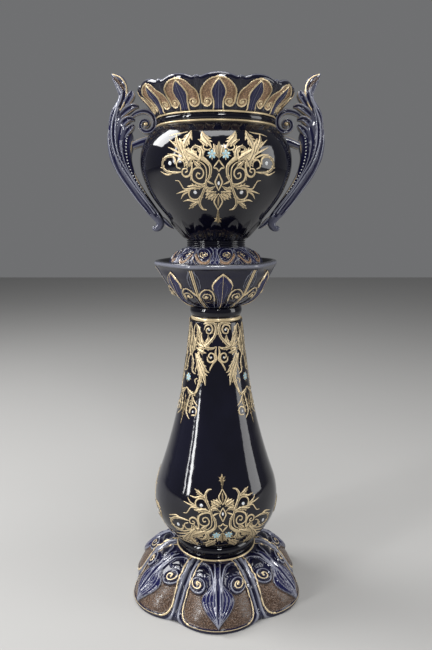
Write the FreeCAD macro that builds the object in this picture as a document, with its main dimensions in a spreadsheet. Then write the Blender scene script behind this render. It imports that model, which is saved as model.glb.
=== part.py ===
import FreeCAD
import Part
import Sketcher
import math
import os

# Jardiniere on a stand: a two-handled pot that lifts out of the cup of its pedestal.
#
# The pot and the pedestal are two fired pieces of glazed earthenware. Each was joined from
# separate castings while the clay was soft, and each casting is one node of this model.
# Millimetres, +Z up, floor at Z = 0, the turning axis of every casting on Z, handles on X.

os.makedirs("parts", exist_ok=True)
doc = FreeCAD.newDocument("jardiniere_on_stand")
V = FreeCAD.Vector
UP = V(0, 0, 1)

# ------------------------------------------------------------------ driving dimensions
DIMENSIONS = [
    ("stand_wall", 8.0, "wall of the pedestal castings"),
    ("pot_wall", 7.0, "wall of the pot castings"),
    # base of the pedestal
    ("base_radius", 180.0, "axis to the tip of a base petal"),
    ("base_lobe_radius", 92.0, "rounding of a base petal in plan"),
    ("base_edge", 11.0, "height of the petals' upright edge"),
    ("base_neck_radius", 75.0, "neck of the base, where the dome ends"),
    ("dome_height", 91.0, "floor to the top of the dome"),
    ("dome_bulge", 235.0, "radius of the dome's convex profile"),
    ("roll_height", 28.0, "height of the roll between the dome and the column"),
    ("roll_bulge", 16.5, "radius of that roll's profile"),
    # column
    ("column_foot_radius", 81.0, "bottom of the column"),
    ("belly_radius", 126.0, "widest part of the column"),
    ("belly_rise", 82.0, "bottom of the column to its widest part"),
    ("taper_radius", 118.0, "where the belly turns into the taper"),
    ("taper_rise", 129.0, "bottom of the column to that turn"),
    ("column_top_radius", 52.0, "top of the column"),
    ("column_height", 448.0, "bottom to top of the column"),
    ("taper_hollow", 1213.0, "radius of the taper's hollow profile"),
    # cup of the pedestal
    ("collar_radius", 46.5, "collar under the cup"),
    ("collar_height", 30.0, "height of that collar"),
    ("collar_bulge", 34.0, "radius of the roll round the collar"),
    ("cup_radius", 118.0, "axis to a corner of the cup's rim"),
    ("cup_flat", 110.0, "axis to a side of the six-sided rim"),
    ("cup_bulge", 173.0, "radius of the cup's convex profile"),
    ("cup_height", 117.0, "top of the column to the cup's rim"),
    ("cup_lip", 11.0, "depth of the upright lip"),
    ("cup_inside_radius", 98.5, "inside of the cup, where the pot's foot stands"),
    ("cup_depth", 23.0, "rim down to the cup's inside floor"),
    ("cup_mouth_flare", 5.0, "how far the mouth opens above the inside wall"),
    ("cup_floor", 8.0, "thickness of the cup's floor"),
    ("cup_hollow_radius", 86.0, "hollow under the cup's floor"),
    ("cup_vent_radius", 28.0, "hole in the cup's floor"),
    # foot of the pot
    ("foot_clearance", 3.5, "gap round the pot's foot in the cup"),
    ("foot_edge", 7.0, "upright edge of the foot"),
    ("foot_shoulder_radius", 58.0, "where the foot's dome meets its ringed neck"),
    ("foot_dome_height", 50.0, "bottom of the foot to the top of its dome"),
    ("foot_bulge", 46.0, "radius of the foot's convex profile"),
    ("foot_neck_radius", 56.0, "ringed neck between the foot and the bowl"),
    ("foot_neck_height", 12.0, "height of the ringed neck"),
    # bowl of the pot
    ("bowl_radius", 143.5, "widest part of the bowl"),
    ("bowl_belly_rise", 143.0, "bottom of the bowl to its widest part"),
    ("bowl_cone_radius", 118.0, "where the bowl's lower cone meets its round belly"),
    ("bowl_cone_rise", 75.0, "bottom of the bowl to that turn"),
    ("bowl_neck_radius", 110.0, "neck of the bowl, under the crown"),
    ("bowl_neck_rise", 208.0, "bottom of the bowl to its neck"),
    ("bowl_neck_height", 18.0, "height of the neck"),
    ("bowl_neck_bulge", 30.0, "radius of the roll round the neck"),
    ("bowl_floor", 10.0, "thickness of the bowl's floor"),
    # crown of the pot
    ("crown_radius", 143.0, "axis to the crown's edge"),
    ("crown_height", 55.0, "bottom of the crown to the top of a lobe"),
    ("crown_edge", 13.0, "depth of the crown's upright edge"),
    ("crown_flare", 126.0, "radius of the crown's hollow profile"),
    ("crown_flare_in", 2.0, "how far the flare stops short of the edge"),
    ("lobe_rounding", 72.0, "radius of a lobe's rounded top"),
    # handles
    ("handle_offset", 60.5, "widest part of the bowl to the outside of a handle"),
    ("handle_rise", 366.0, "bottom of the pot to the tip of a handle"),
    ("handle_depth", 34.0, "front to back, at the middle of the strap"),
    ("handle_gap", 15.0, "widest gap between the bowl and the strap"),
    ("volute_radius", 21.5, "scroll that joins a handle to the neck"),
    ("volute_depth", 32.0, "front to back of the scroll"),
    ("scroll_drop", 7.0, "top of the bowl's neck down to the scroll's axis"),
    ("handle_rounding", 2.0, "how far the strap's outline stays inside its offset"),
]
BASE_PETALS = 6
CUP_SIDES = 6
CROWN_LOBES = 12
CUP_TURN = 7.0      # degrees from the front to the middle of a side of the cup
CROWN_TURN = 2.0    # degrees from the front to the middle of a lobe of the crown

# The strap of a handle from its tip down: what a place is measured from, how far out and
# up it lies from there, half the width, and the depth as a share of the handle's depth.
# A width of None is what the gap to the bowl leaves.
STRAP = [
    ("tip", -15, 0, 1.5, 0.12),
    ("tip", -20, -12, 7, 0.35),
    ("tip", -31, -28, 10, 0.5),
    ("tip", -37, -47, 12, 0.6),
    ("tip", -28, -74, 15, 0.75),
    ("tip", -21, -104, 19, 0.95),
    ("tip", -21, -130, None, 1.0),
    ("belly", -2, 0, None, 0.95),
    ("belly", -40, -32, 15, 0.85),
    ("cone", 31, 18, 13.5, 0.75),
    ("cone", 13, -2, 14, 0.65),
    ("cone", -3, -20, 13.5, 0.6),
    ("cone", -22, -40, 12, 0.5),
    ("cone", -33, -52, 8, 0.4),
]
# The bridge from the scroll to the strap, and the spur from the bowl to it, alike.
BRIDGE = [
    ("scroll", 0, 15, 7, 0.8),
    ("scroll", 22, 13, 8, 0.8),
    ("bridge_end", -24, -8, 9, 0.85),
]
SPUR = [
    ("bowl", -14, 34, 9, 0.5),
    ("bowl", 4, 37, 8, 0.55),
    ("gap", 9, 27, 8, 0.6),
]

sheet = doc.addObject("Spreadsheet::Sheet", "dims")
for row, (alias, value, note) in enumerate(DIMENSIONS, start=1):
    sheet.set("A%d" % row, alias)
    sheet.set("B%d" % row, str(value))
    sheet.set("C%d" % row, note)
    sheet.setAlias("B%d" % row, alias)
doc.recompute()


def size(expression):
    """The value of an expression over the sheet, such as "dims.base_radius - 2"."""
    return float(sheet.evalExpression(expression))


# ------------------------------------------------------------------ levels of the joints
BASE_TOP = "(dims.dome_height + dims.roll_height)"
COLUMN_TOP = "(%s + dims.column_height)" % BASE_TOP
CUP_RIM = "(%s + dims.cup_height)" % COLUMN_TOP
SEAT = "(%s - dims.cup_depth)" % CUP_RIM
DOME_TOP = "(%s + dims.foot_dome_height)" % SEAT
FOOT_TOP = "(%s + dims.foot_neck_height)" % DOME_TOP
BOWL_TOP = "(%s + dims.bowl_neck_rise + dims.bowl_neck_height)" % FOOT_TOP
CROWN_TOP = "(%s + dims.crown_height)" % BOWL_TOP


# ------------------------------------------------------------------ turned castings
def upright_arc(narrow, wide, rise):
    """Radius of an arc that is upright where it is widest and meets a narrower point."""
    return "(((%s) - (%s))^2 + (%s)^2)/(2*((%s) - (%s)))" % (wide, narrow, rise, wide, narrow)


def arc_centre(start, end, radius, side):
    """Centre of an arc from start to end that bulges to the right (1) or left (-1)."""
    chord = end - start
    middle = (start + end) * 0.5
    left = V(-chord.y, chord.x, 0).normalize()
    sagitta_leg = math.sqrt(radius ** 2 - (chord.Length / 2) ** 2)
    return middle + left * side * sagitta_leg


def draw_outline(sketch, outline):
    """Draw a closed outline of (radius, height, edge) and bind every point to the sheet.

    edge says how the outline goes on to the next point: None for a straight line, or
    (radius, side) for an arc that bulges to the right (1) or left (-1) of its way.
    """
    points = [V(size(radius), size(height), 0) for radius, height, _ in outline]
    count = len(outline)
    ends = []
    for index, (_, _, edge) in enumerate(outline):
        start = points[index]
        end = points[(index + 1) % count]
        if edge is None:
            sketch.addGeometry(Part.LineSegment(start, end))
            ends.append((1, 2))
            continue
        radius = size(edge[0])
        side = edge[1]
        centre = arc_centre(start, end, radius, side)
        first, last = (start, end) if side > 0 else (end, start)
        first_angle = math.atan2(first.y - centre.y, first.x - centre.x)
        last_angle = math.atan2(last.y - centre.y, last.x - centre.x)
        circle = Part.Circle(centre, UP, radius)
        sketch.addGeometry(Part.ArcOfCircle(circle, first_angle, last_angle))
        ends.append((1, 2) if side > 0 else (2, 1))
    for index in range(count):
        following = (index + 1) % count
        sketch.addConstraint(Sketcher.Constraint(
            "Coincident", index, ends[index][1], following, ends[following][0]))
    for index, (radius, height, edge) in enumerate(outline):
        corner = ends[index][0]
        if radius == "0":
            sketch.addConstraint(Sketcher.Constraint("PointOnObject", index, corner, -2))
        else:
            bind(sketch, "DistanceX", (-1, 1, index, corner), "radius%d" % index, radius)
        if height == "0":
            sketch.addConstraint(Sketcher.Constraint("PointOnObject", index, corner, -1))
        else:
            bind(sketch, "DistanceY", (-1, 1, index, corner), "height%d" % index, height)
        if edge is not None:
            bind(sketch, "Radius", (index,), "bulge%d" % index, edge[0])


def bind(sketch, kind, where, name, expression):
    """Add one named size to a sketch and bind it to the sheet."""
    number = sketch.addConstraint(Sketcher.Constraint(kind, *where, size(expression)))
    sketch.renameConstraint(number, name)
    sketch.setExpression("Constraints." + name, expression)


def turned(name, outline):
    """A body turned round the Z axis from a closed outline."""
    body = doc.addObject("PartDesign::Body", name)
    body.Label = name
    sketch = body.newObject("Sketcher::SketchObject", name + "_outline")
    plane = [item for item in body.Origin.OriginFeatures if item.Role == "XZ_Plane"][0]
    sketch.AttachmentSupport = (plane, [""])
    sketch.MapMode = "FlatFace"
    draw_outline(sketch, outline)
    doc.recompute()
    turn = body.newObject("PartDesign::Revolution", name + "_turned")
    turn.Profile = sketch
    turn.ReferenceAxis = (sketch, ["V_Axis"])
    turn.Angle = 360
    doc.recompute()
    return body


def common(name, base, tool):
    """What two solids share, under the name of the finished casting."""
    shared = doc.addObject("Part::Common", name)
    shared.Label = name
    shared.Base = base
    shared.Tool = tool
    doc.recompute()
    return shared


def cut(name, base, tool):
    """One solid less another, under the name of the finished casting."""
    rest = doc.addObject("Part::Cut", name)
    rest.Label = name
    rest.Base = base
    rest.Tool = tool
    doc.recompute()
    return rest


def fused(name, shapes):
    """Several solids joined into one."""
    union = doc.addObject("Part::MultiFuse", name)
    union.Label = name
    union.Shapes = shapes
    union.Refine = False
    doc.recompute()
    return union


def cylinder(name, radius, height, placement):
    """A cylinder whose radius and height come from the sheet."""
    item = doc.addObject("Part::Cylinder", name)
    item.Label = name
    item.setExpression("Radius", radius)
    item.setExpression("Height", height)
    item.Placement = placement
    return item


# ------------------------------------------------------------------ pedestal
def lobed_plan(name, height, inset):
    """Six cylinders round a middle one: the plan of the base, drawn in by inset."""
    away = "(dims.base_radius - dims.base_lobe_radius)"
    petals = [cylinder(name + "_middle", away, height, FreeCAD.Placement())]
    for number in range(BASE_PETALS):
        angle = number * 360.0 / BASE_PETALS - 90
        petal = cylinder("%s_%d" % (name, number), "dims.base_lobe_radius - " + inset, height,
                         FreeCAD.Placement(V(0, 0, 0), FreeCAD.Rotation(UP, angle)))
        petal.setExpression("Placement.Base.x", "%s*cos(%g deg)" % (away, angle))
        petal.setExpression("Placement.Base.y", "%s*sin(%g deg)" % (away, angle))
        petals.append(petal)
    return fused(name, petals)


def make_base():
    """Hollow dome of six petals, with the roll that carries the column."""
    wall = " - dims.stand_wall"
    outline = [
        ("dims.base_radius", "0", None),
        ("dims.base_radius", "dims.base_edge", ("dims.dome_bulge", 1)),
        ("dims.base_neck_radius", "dims.dome_height", ("dims.roll_bulge", 1)),
        ("dims.base_neck_radius", BASE_TOP, None),
        ("0", BASE_TOP, None),
        ("0", "0", None),
    ]
    hollow = [
        ("dims.base_radius" + wall, "0", None),
        ("dims.base_radius" + wall, "dims.base_edge" + wall, ("dims.dome_bulge" + wall, 1)),
        ("dims.base_neck_radius" + wall, "dims.dome_height" + wall, None),
        ("dims.base_neck_radius" + wall, BASE_TOP, None),
        ("0", BASE_TOP, None),
        ("0", "0", None),
    ]
    outside = common("base_outside", turned("base_dome", outline),
                     lobed_plan("base_plan", BASE_TOP, "0"))
    inside = common("base_inside", turned("base_hollow", hollow),
                    lobed_plan("base_hollow_plan", BASE_TOP, "dims.stand_wall"))
    return cut("stand_base", outside, inside)


def make_column():
    """Hollow pear-shaped column."""
    belly = upright_arc("dims.column_foot_radius", "dims.belly_radius", "dims.belly_rise")
    turn_rise = "(dims.taper_rise - dims.belly_rise)"
    shoulder = upright_arc("dims.taper_radius", "dims.belly_radius", turn_rise)
    levels = [
        ("dims.column_foot_radius", BASE_TOP, belly),
        ("dims.belly_radius", "%s + dims.belly_rise" % BASE_TOP, shoulder),
        ("dims.taper_radius", "%s + dims.taper_rise" % BASE_TOP, "dims.taper_hollow"),
        ("dims.column_top_radius", COLUMN_TOP, None),
    ]
    outside = []
    for (radius, height, bulge), side in zip(levels, (1, 1, -1, 0)):
        outside.append((radius, height, (bulge, side) if bulge else None))
    inside = []
    for index in range(len(levels) - 1, -1, -1):
        radius, height, _ = levels[index]
        bulge = levels[index - 1][2] if index else None
        side = (-1, -1, 1)[index - 1] if index else 0
        inside.append((radius + " - dims.stand_wall", height,
                       (bulge, side) if bulge else None))
    return turned("stand_column", outside + inside)


def make_cup():
    """Six-sided cup on a rolled collar; its inside floor carries the pot."""
    collar_top = "(%s + dims.collar_height)" % COLUMN_TOP
    lip_bottom = "(%s - dims.cup_lip)" % CUP_RIM
    floor_bottom = "(%s - dims.cup_floor)" % SEAT
    hollow = "dims.collar_radius - dims.stand_wall"
    mouth = "dims.cup_inside_radius + dims.cup_mouth_flare"
    outline = [
        ("dims.collar_radius", COLUMN_TOP, ("dims.collar_bulge", 1)),
        ("dims.collar_radius", collar_top, ("dims.cup_bulge", 1)),
        ("dims.cup_radius", lip_bottom, None),
        ("dims.cup_radius", CUP_RIM, None),
        (mouth, CUP_RIM, None),
        ("dims.cup_inside_radius", lip_bottom, None),
        ("dims.cup_inside_radius", SEAT, None),
        ("dims.cup_vent_radius", SEAT, None),
        ("dims.cup_vent_radius", floor_bottom, None),
        ("dims.cup_hollow_radius", floor_bottom, None),
        (hollow, collar_top, None),
        (hollow, COLUMN_TOP, None),
    ]
    bowl = turned("cup_turned", outline)
    prism = doc.addObject("Part::Prism", "cup_plan")
    prism.Label = "cup_plan"
    prism.Polygon = CUP_SIDES
    prism.setExpression("Circumradius", "dims.cup_flat/cos(%g deg)" % (180.0 / CUP_SIDES))
    prism.setExpression("Height", "dims.cup_height")
    corner = -90 + CUP_TURN + 180.0 / CUP_SIDES
    prism.Placement = FreeCAD.Placement(V(0, 0, 0), FreeCAD.Rotation(UP, corner))
    prism.setExpression("Placement.Base.z", COLUMN_TOP)
    return common("stand_cup", bowl, prism)


# ------------------------------------------------------------------ pot
def make_foot():
    """Hollow domed foot with a ringed neck."""
    edge = "(dims.cup_inside_radius - dims.foot_clearance)"
    edge_top = "(%s + dims.foot_edge)" % SEAT
    wall = "dims.pot_wall"
    ring_pitch = "dims.foot_neck_height/3"
    outline = [
        (edge, SEAT, None),
        (edge, edge_top, ("dims.foot_bulge", 1)),
        ("dims.foot_shoulder_radius", DOME_TOP, None),
        ("dims.foot_neck_radius", DOME_TOP, ("%s*0.6" % ring_pitch, 1)),
        ("dims.foot_neck_radius", "%s + %s" % (DOME_TOP, ring_pitch),
         ("%s*0.6" % ring_pitch, 1)),
        ("dims.foot_neck_radius", "%s + 2*%s" % (DOME_TOP, ring_pitch),
         ("%s*0.6" % ring_pitch, 1)),
        ("dims.foot_neck_radius", FOOT_TOP, None),
        ("dims.foot_neck_radius - %s" % wall, FOOT_TOP, None),
        ("dims.foot_neck_radius - %s" % wall, "%s - %s" % (DOME_TOP, wall),
         ("dims.foot_bulge - %s" % wall, -1)),
        ("%s - %s" % (edge, wall), edge_top, None),
        ("%s - %s" % (edge, wall), SEAT, None),
    ]
    return turned("pot_foot", outline)


def bowl_levels():
    """Outside of the bowl from its bottom to its neck: radius, height, edge to the next."""
    cone_turn = "(%s + dims.bowl_cone_rise)" % FOOT_TOP
    belly = "(%s + dims.bowl_belly_rise)" % FOOT_TOP
    neck = "(%s + dims.bowl_neck_rise)" % FOOT_TOP
    lower = upright_arc("dims.bowl_cone_radius", "dims.bowl_radius",
                        "(dims.bowl_belly_rise - dims.bowl_cone_rise)")
    upper = upright_arc("dims.bowl_neck_radius", "dims.bowl_radius",
                        "(dims.bowl_neck_rise - dims.bowl_belly_rise)")
    return [
        ("dims.foot_neck_radius + 1", FOOT_TOP, None),
        ("dims.bowl_cone_radius", cone_turn, (lower, 1)),
        ("dims.bowl_radius", belly, (upper, 1)),
        ("dims.bowl_neck_radius", neck, ("dims.bowl_neck_bulge", 1)),
        ("dims.bowl_neck_radius", BOWL_TOP, None),
    ]


def make_bowl():
    """Round hollow bowl with a rolled neck."""
    outside = bowl_levels()
    wall = " - dims.pot_wall"
    floor = "(%s + dims.bowl_floor)" % FOOT_TOP
    lower = outside[1][2][0]
    upper = outside[2][2][0]
    inside = [
        (outside[4][0] + wall, BOWL_TOP, None),
        (outside[3][0] + wall, outside[3][1], (upper, -1)),
        (outside[2][0] + wall, outside[2][1], (lower, -1)),
        (outside[1][0] + wall, outside[1][1], None),
        (outside[0][0], floor, None),
        ("0", floor, None),
        ("0", FOOT_TOP, None),
    ]
    return turned("pot_bowl", outside + inside)


def make_crown():
    """Flared crown whose edge rises in twelve rounded lobes."""
    wall = " - dims.pot_wall"
    flare = "(dims.crown_radius - dims.crown_flare_in)"
    edge_bottom = "(%s - dims.crown_edge)" % CROWN_TOP
    outline = [
        ("dims.bowl_neck_radius", BOWL_TOP, ("dims.crown_flare", -1)),
        (flare, edge_bottom, None),
        ("dims.crown_radius", CROWN_TOP, None),
        ("dims.crown_radius" + wall, CROWN_TOP, None),
        (flare + wall, edge_bottom, ("dims.crown_flare", 1)),
        ("dims.bowl_neck_radius" + wall, BOWL_TOP, None),
    ]
    ring = turned("crown_ring", outline)
    lobes = []
    for number in range(CROWN_LOBES):
        angle = number * 360.0 / CROWN_LOBES - 90 + CROWN_TURN
        turn = FreeCAD.Rotation(UP, angle) * FreeCAD.Rotation(V(0, 1, 0), 90)
        lobe = cylinder("crown_lobe_%d" % number, "dims.lobe_rounding",
                        "dims.crown_radius*1.1", FreeCAD.Placement(V(0, 0, 0), turn))
        lobe.setExpression("Placement.Base.z", "%s - dims.lobe_rounding" % CROWN_TOP)
        lobes.append(lobe)
    return common("pot_crown", ring, fused("crown_plan", lobes))


def bowl_block():
    """The bowl's outside as one full solid, to fit the handles against."""
    outside = bowl_levels()
    outline = outside + [("0", BOWL_TOP, None), ("0", FOOT_TOP, None)]
    return turned("bowl_block", outline)


def ellipse_section(centre, along, half_width, half_depth):
    """A closed oval across the strap, in the plane square to its way."""
    across = V(0, 1, 0).cross(along).normalize()
    if half_depth > half_width:
        oval = Part.Ellipse(centre + V(0, half_depth, 0), centre + across * half_width, centre)
    else:
        oval = Part.Ellipse(centre + across * half_width, centre + V(0, half_depth, 0), centre)
    return Part.Wire([oval.toShape()])


def strap(stations):
    """A solid through ovals at (x, z, half width, half depth) along a curved way."""
    centres = [V(x, 0, z) for x, z, _, _ in stations]
    sections = []
    for index, (_, _, half_width, half_depth) in enumerate(stations):
        before = centres[max(index - 1, 0)]
        after = centres[min(index + 1, len(centres) - 1)]
        sections.append(ellipse_section(centres[index], after - before,
                                        half_width, half_depth))
    return Part.makeLoft(sections, True, False)


def make_handle(block):
    """Right handle: curved strap with a leaf tip, and the scroll that meets the neck."""
    reach = size("dims.bowl_radius + dims.handle_offset")
    belly = size(FOOT_TOP + " + dims.bowl_belly_rise")
    neck = size(BOWL_TOP)
    gap_edge = size("dims.bowl_radius + dims.handle_gap")
    volute = size("dims.volute_radius")
    scroll_axis = size("dims.bowl_neck_radius") + volute
    scroll_level = neck - size("dims.scroll_drop")
    anchors = {
        "tip": (reach, size(SEAT + " + dims.handle_rise")),
        "belly": (reach, belly),
        "cone": (size("dims.bowl_cone_radius"), size(FOOT_TOP + " + dims.bowl_cone_rise")),
        "scroll": (scroll_axis, scroll_level),
        "bridge_end": (reach, neck),
        "bowl": (size("dims.bowl_radius"), belly),
        "gap": (gap_edge, belly),
    }
    depth = size("dims.handle_depth") / 2
    middle_half = (reach - size("dims.handle_rounding") - gap_edge) / 2

    def stations(table):
        rows = []
        for anchor, out, up, half_width, share in table:
            x, z = anchors[anchor]
            if half_width is None:
                half_width = middle_half * share
                if anchor == "belly":
                    out = out - middle_half
            rows.append((x + out, z + up, half_width, depth * share))
        return rows

    scroll_depth = size("dims.volute_depth")
    scroll = Part.makeCylinder(volute, scroll_depth,
                               V(scroll_axis, -scroll_depth / 2, scroll_level), V(0, 1, 0))
    solid = strap(stations(STRAP)).fuse(
        [scroll, strap(stations(BRIDGE)), strap(stations(SPUR))])
    handle = doc.addObject("Part::Feature", "handle_blank")
    handle.Shape = solid.removeSplitter()
    handle.Label = "handle_blank"
    return cut("handle_right", handle, block)


def make_left_handle(right):
    """Left handle: the right one mirrored across the middle."""
    left = doc.addObject("Part::Mirroring", "handle_left")
    left.Label = "handle_left"
    left.Source = right
    left.Base = V(0, 0, 0)
    left.Normal = V(1, 0, 0)
    doc.recompute()
    return left


# ------------------------------------------------------------------ build and export
def main():
    block = bowl_block()
    right_handle = make_handle(block)
    nodes = [
        make_base(),
        make_column(),
        make_cup(),
        make_foot(),
        make_bowl(),
        make_crown(),
        right_handle,
        make_left_handle(right_handle),
    ]
    doc.recompute()
    for item in doc.Objects:
        if "Invalid" in item.State or "Error" in item.State:
            raise RuntimeError("%s failed: %s" % (item.Label, item.State))
    for node in nodes:
        shape = node.Shape
        if shape.isNull() or not shape.isValid() or not shape.Solids:
            raise RuntimeError("%s has no valid solid" % node.Label)
        box = shape.BoundBox
        print("%-13s %d solid  x %.1f to %.1f  y %.1f to %.1f  z %.1f to %.1f" % (
            node.Label, len(shape.Solids), box.XMin, box.XMax, box.YMin, box.YMax,
            box.ZMin, box.ZMax))
        shape.exportStep(os.path.join("parts", node.Label + ".step"))


main()
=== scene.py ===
import math

import bmesh
import bpy
import numpy as np
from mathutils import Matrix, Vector


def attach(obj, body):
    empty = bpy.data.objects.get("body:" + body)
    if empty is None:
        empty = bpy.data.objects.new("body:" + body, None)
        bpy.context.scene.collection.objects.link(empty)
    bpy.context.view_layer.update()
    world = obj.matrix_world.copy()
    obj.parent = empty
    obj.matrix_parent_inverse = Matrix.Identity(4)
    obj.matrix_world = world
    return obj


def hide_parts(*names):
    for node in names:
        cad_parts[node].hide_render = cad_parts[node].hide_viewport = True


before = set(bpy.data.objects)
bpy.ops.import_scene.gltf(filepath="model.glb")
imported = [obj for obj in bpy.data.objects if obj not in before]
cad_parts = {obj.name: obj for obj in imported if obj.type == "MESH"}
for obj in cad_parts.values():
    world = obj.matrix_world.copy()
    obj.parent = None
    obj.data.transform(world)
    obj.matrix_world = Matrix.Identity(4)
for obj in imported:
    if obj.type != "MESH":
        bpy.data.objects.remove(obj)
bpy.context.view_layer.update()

bl_info = {
    "name": "Jardiniere on stand",
    "version": (1, 0, 0),
    "blender": (4, 5, 0),
    "location": "View3D > Sidebar > Jardiniere",
    "description": "Glazed and gilt surfaces of a two-handled pot on its pedestal",
    "category": "Add Mesh",
}

MM = 0.001
FULL_TURN = 2 * math.pi
FAR = 1e9            # further than any distance drawn, squared
WELD = 0.00002       # points closer than this, in metres, become one
# Sockets of the Mix node when it blends colours.
MIX_FACTOR, MIX_FIRST, MIX_SECOND, MIX_RESULT = 0, 6, 7, 2


# ====================================================================== shader expressions
class Value:
    """A number in a material that varies over the surface; arithmetic adds Math nodes."""

    def __init__(self, finish, socket):
        self.finish = finish
        self.socket = socket

    def _math(self, operation, first, second):
        node = self.finish.node("ShaderNodeMath", {"operation": operation},
                                {0: first, 1: second})
        return Value(self.finish, node.outputs[0])

    def __add__(self, other):
        return self._math("ADD", self, other)

    def __radd__(self, other):
        return self._math("ADD", other, self)

    def __sub__(self, other):
        return self._math("SUBTRACT", self, other)

    def __rsub__(self, other):
        return self._math("SUBTRACT", other, self)

    def __mul__(self, other):
        return self._math("MULTIPLY", self, other)

    def __rmul__(self, other):
        return self._math("MULTIPLY", other, self)

    def lower(self, other):
        """The lesser of the two."""
        return self._math("MINIMUM", self, other)

    def between(self, start, end):
        """0 below start, 1 above end and a smooth step from one to the other."""
        node = self.finish.node("ShaderNodeMapRange", {"interpolation_type": "SMOOTHSTEP"},
                                {"Value": self, "From Min": start, "From Max": end})
        return Value(self.finish, node.outputs["Result"])


class Finish:
    """One procedural material, built up node by node."""

    def __init__(self, name):
        self.material = bpy.data.materials.new(name)
        self.material.use_nodes = True
        self.tree = self.material.node_tree
        self.tree.nodes.clear()
        self.output = self.tree.nodes.new("ShaderNodeOutputMaterial")
        self.coordinates = self.node("ShaderNodeTexCoord").outputs["Object"]

    def node(self, kind, settings=None, inputs=None):
        """Add a node; settings are set first, then its sockets get values or links."""
        node = self.tree.nodes.new(kind)
        for name, value in (settings or {}).items():
            setattr(node, name, value)
        for name, value in (inputs or {}).items():
            self.feed(node.inputs[name], value)
        return node

    def feed(self, socket, value):
        """Link a socket, or set it to a number, a colour or a vector."""
        if isinstance(value, Value):
            value = value.socket
        if isinstance(value, bpy.types.NodeSocket):
            self.tree.links.new(value, socket)
        elif socket.type == "RGBA":
            socket.default_value = (*tuple(value)[:3], 1)
        else:
            socket.default_value = value

    def mask(self, name):
        """A number stored on the mesh's points."""
        node = self.node("ShaderNodeAttribute",
                         {"attribute_type": "GEOMETRY", "attribute_name": name})
        return Value(self, node.outputs["Fac"])

    def noise(self, scale, detail=3.0, roughness=0.55):
        node = self.node("ShaderNodeTexNoise", {}, {
            "Vector": self.coordinates, "Scale": scale, "Detail": detail,
            "Roughness": roughness})
        return Value(self, node.outputs["Fac"])

    def cells(self, scale):
        node = self.node("ShaderNodeTexVoronoi", {}, {
            "Vector": self.coordinates, "Scale": scale})
        return Value(self, node.outputs["Distance"])

    def mix(self, factor, first, second):
        """Blend two colours."""
        node = self.node("ShaderNodeMix", {"data_type": "RGBA"},
                         {MIX_FACTOR: factor, MIX_FIRST: first, MIX_SECOND: second})
        return node.outputs[MIX_RESULT]

    def relief(self, height, distance, strength=1.0):
        """Surface normal bent by a height."""
        node = self.node("ShaderNodeBump", {}, {
            "Height": height, "Distance": distance, "Strength": strength})
        return node.outputs["Normal"]

    def shade(self, **sockets):
        """Finish with one glazed or metallic surface."""
        names = {"colour": "Base Color", "roughness": "Roughness", "metal": "Metallic",
                 "coat": "Coat Weight", "coat_roughness": "Coat Roughness",
                 "normal": "Normal", "ior": "IOR"}
        shader = self.node("ShaderNodeBsdfPrincipled", {}, {
            names[name]: value for name, value in sockets.items()})
        self.tree.links.new(shader.outputs[0], self.output.inputs["Surface"])
        return self.material


# ====================================================================== finishes
def scaled(colour, share):
    """A colour made darker or lighter."""
    return tuple(channel * share for channel in colour)


def dark_glaze(look):
    """Blue-black lead glaze: deep gloss with faint ripples, dust and pinholes."""
    finish = Finish("dark_glaze")
    ripple = finish.noise(34.0, 2.0)
    pool = finish.noise(6.0, 3.0)
    pinholes = 1 - finish.cells(420.0).between(0.03, 0.09)
    colour = finish.mix(pool.between(0.35, 0.75), look.black_glaze,
                        scaled(look.black_glaze, 2.2))
    return finish.shade(
        colour=colour,
        roughness=0.05 + pool * 0.05 + pinholes * finish.noise(15.0).between(0.6, 0.7) * 0.3,
        ior=1.5, normal=finish.relief(ripple, 0.0011, 0.35))


def relief_glaze(look):
    """Cobalt glaze over relief: pale on the crests from thin glaze and painted highlight, gilt
    lines, stippled grounds.
    """
    finish = Finish("relief_glaze")
    crest = finish.mask("crest")
    gilt = finish.mask("gilt")
    ground = finish.mask("ground")
    wear = finish.noise(700.0, 3.0, 0.6)
    drift = finish.noise(26.0, 2.0)
    stipple = finish.cells(430.0).between(0.2, 0.6)
    blue = finish.mix(finish.mask("cobalt") * (0.75 + drift * 0.5).lower(1.0),
                      look.black_glaze, look.cobalt)
    # Crest paint: thin glaze on the ridges, and painted highlight where they would catch the
    # lamps.
    thinning_and_highlight = (crest * (0.78 + wear * 0.3 + drift * 0.14)).between(0.35, 1.1)
    glazed = finish.mix(thinning_and_highlight, blue, look.thin_glaze_and_highlight)
    pale_ground = finish.mix(stipple * 0.8, look.ground_gilt, look.ground_dark)
    brown_ground = finish.mix((stipple * 0.8 + drift * 0.4).lower(1.0), look.ground_dark,
                              scaled(look.ground_dark, 0.25))
    ground_colour = finish.mix(ground.between(0.6, 0.95), brown_ground, pale_ground)
    grounded = finish.mix(ground.between(0.15, 0.5), glazed, ground_colour)
    gold_cover = (gilt * (0.7 + wear * 0.6)).between(0.4, 0.6)
    gold = finish.mix(wear.between(0.25, 0.6), scaled(look.gilding, 0.7), look.gilding)
    pearl_cover = finish.mask("pearl").between(0.4, 0.6)
    colour = finish.mix(pearl_cover, finish.mix(gold_cover, grounded, gold),
                        look.pearl_enamel)
    metal = gold_cover * (1 - pearl_cover) * 0.35
    roughness = 0.07 + gold_cover * 0.22 + ground * (1 - gold_cover) * 0.22
    height = finish.noise(60.0, 2.0) * 0.4 + ground * stipple * -0.9
    return finish.shade(
        colour=colour, roughness=roughness, metal=metal, ior=1.5,
        normal=finish.relief(height, 0.0008, 0.7))


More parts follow.
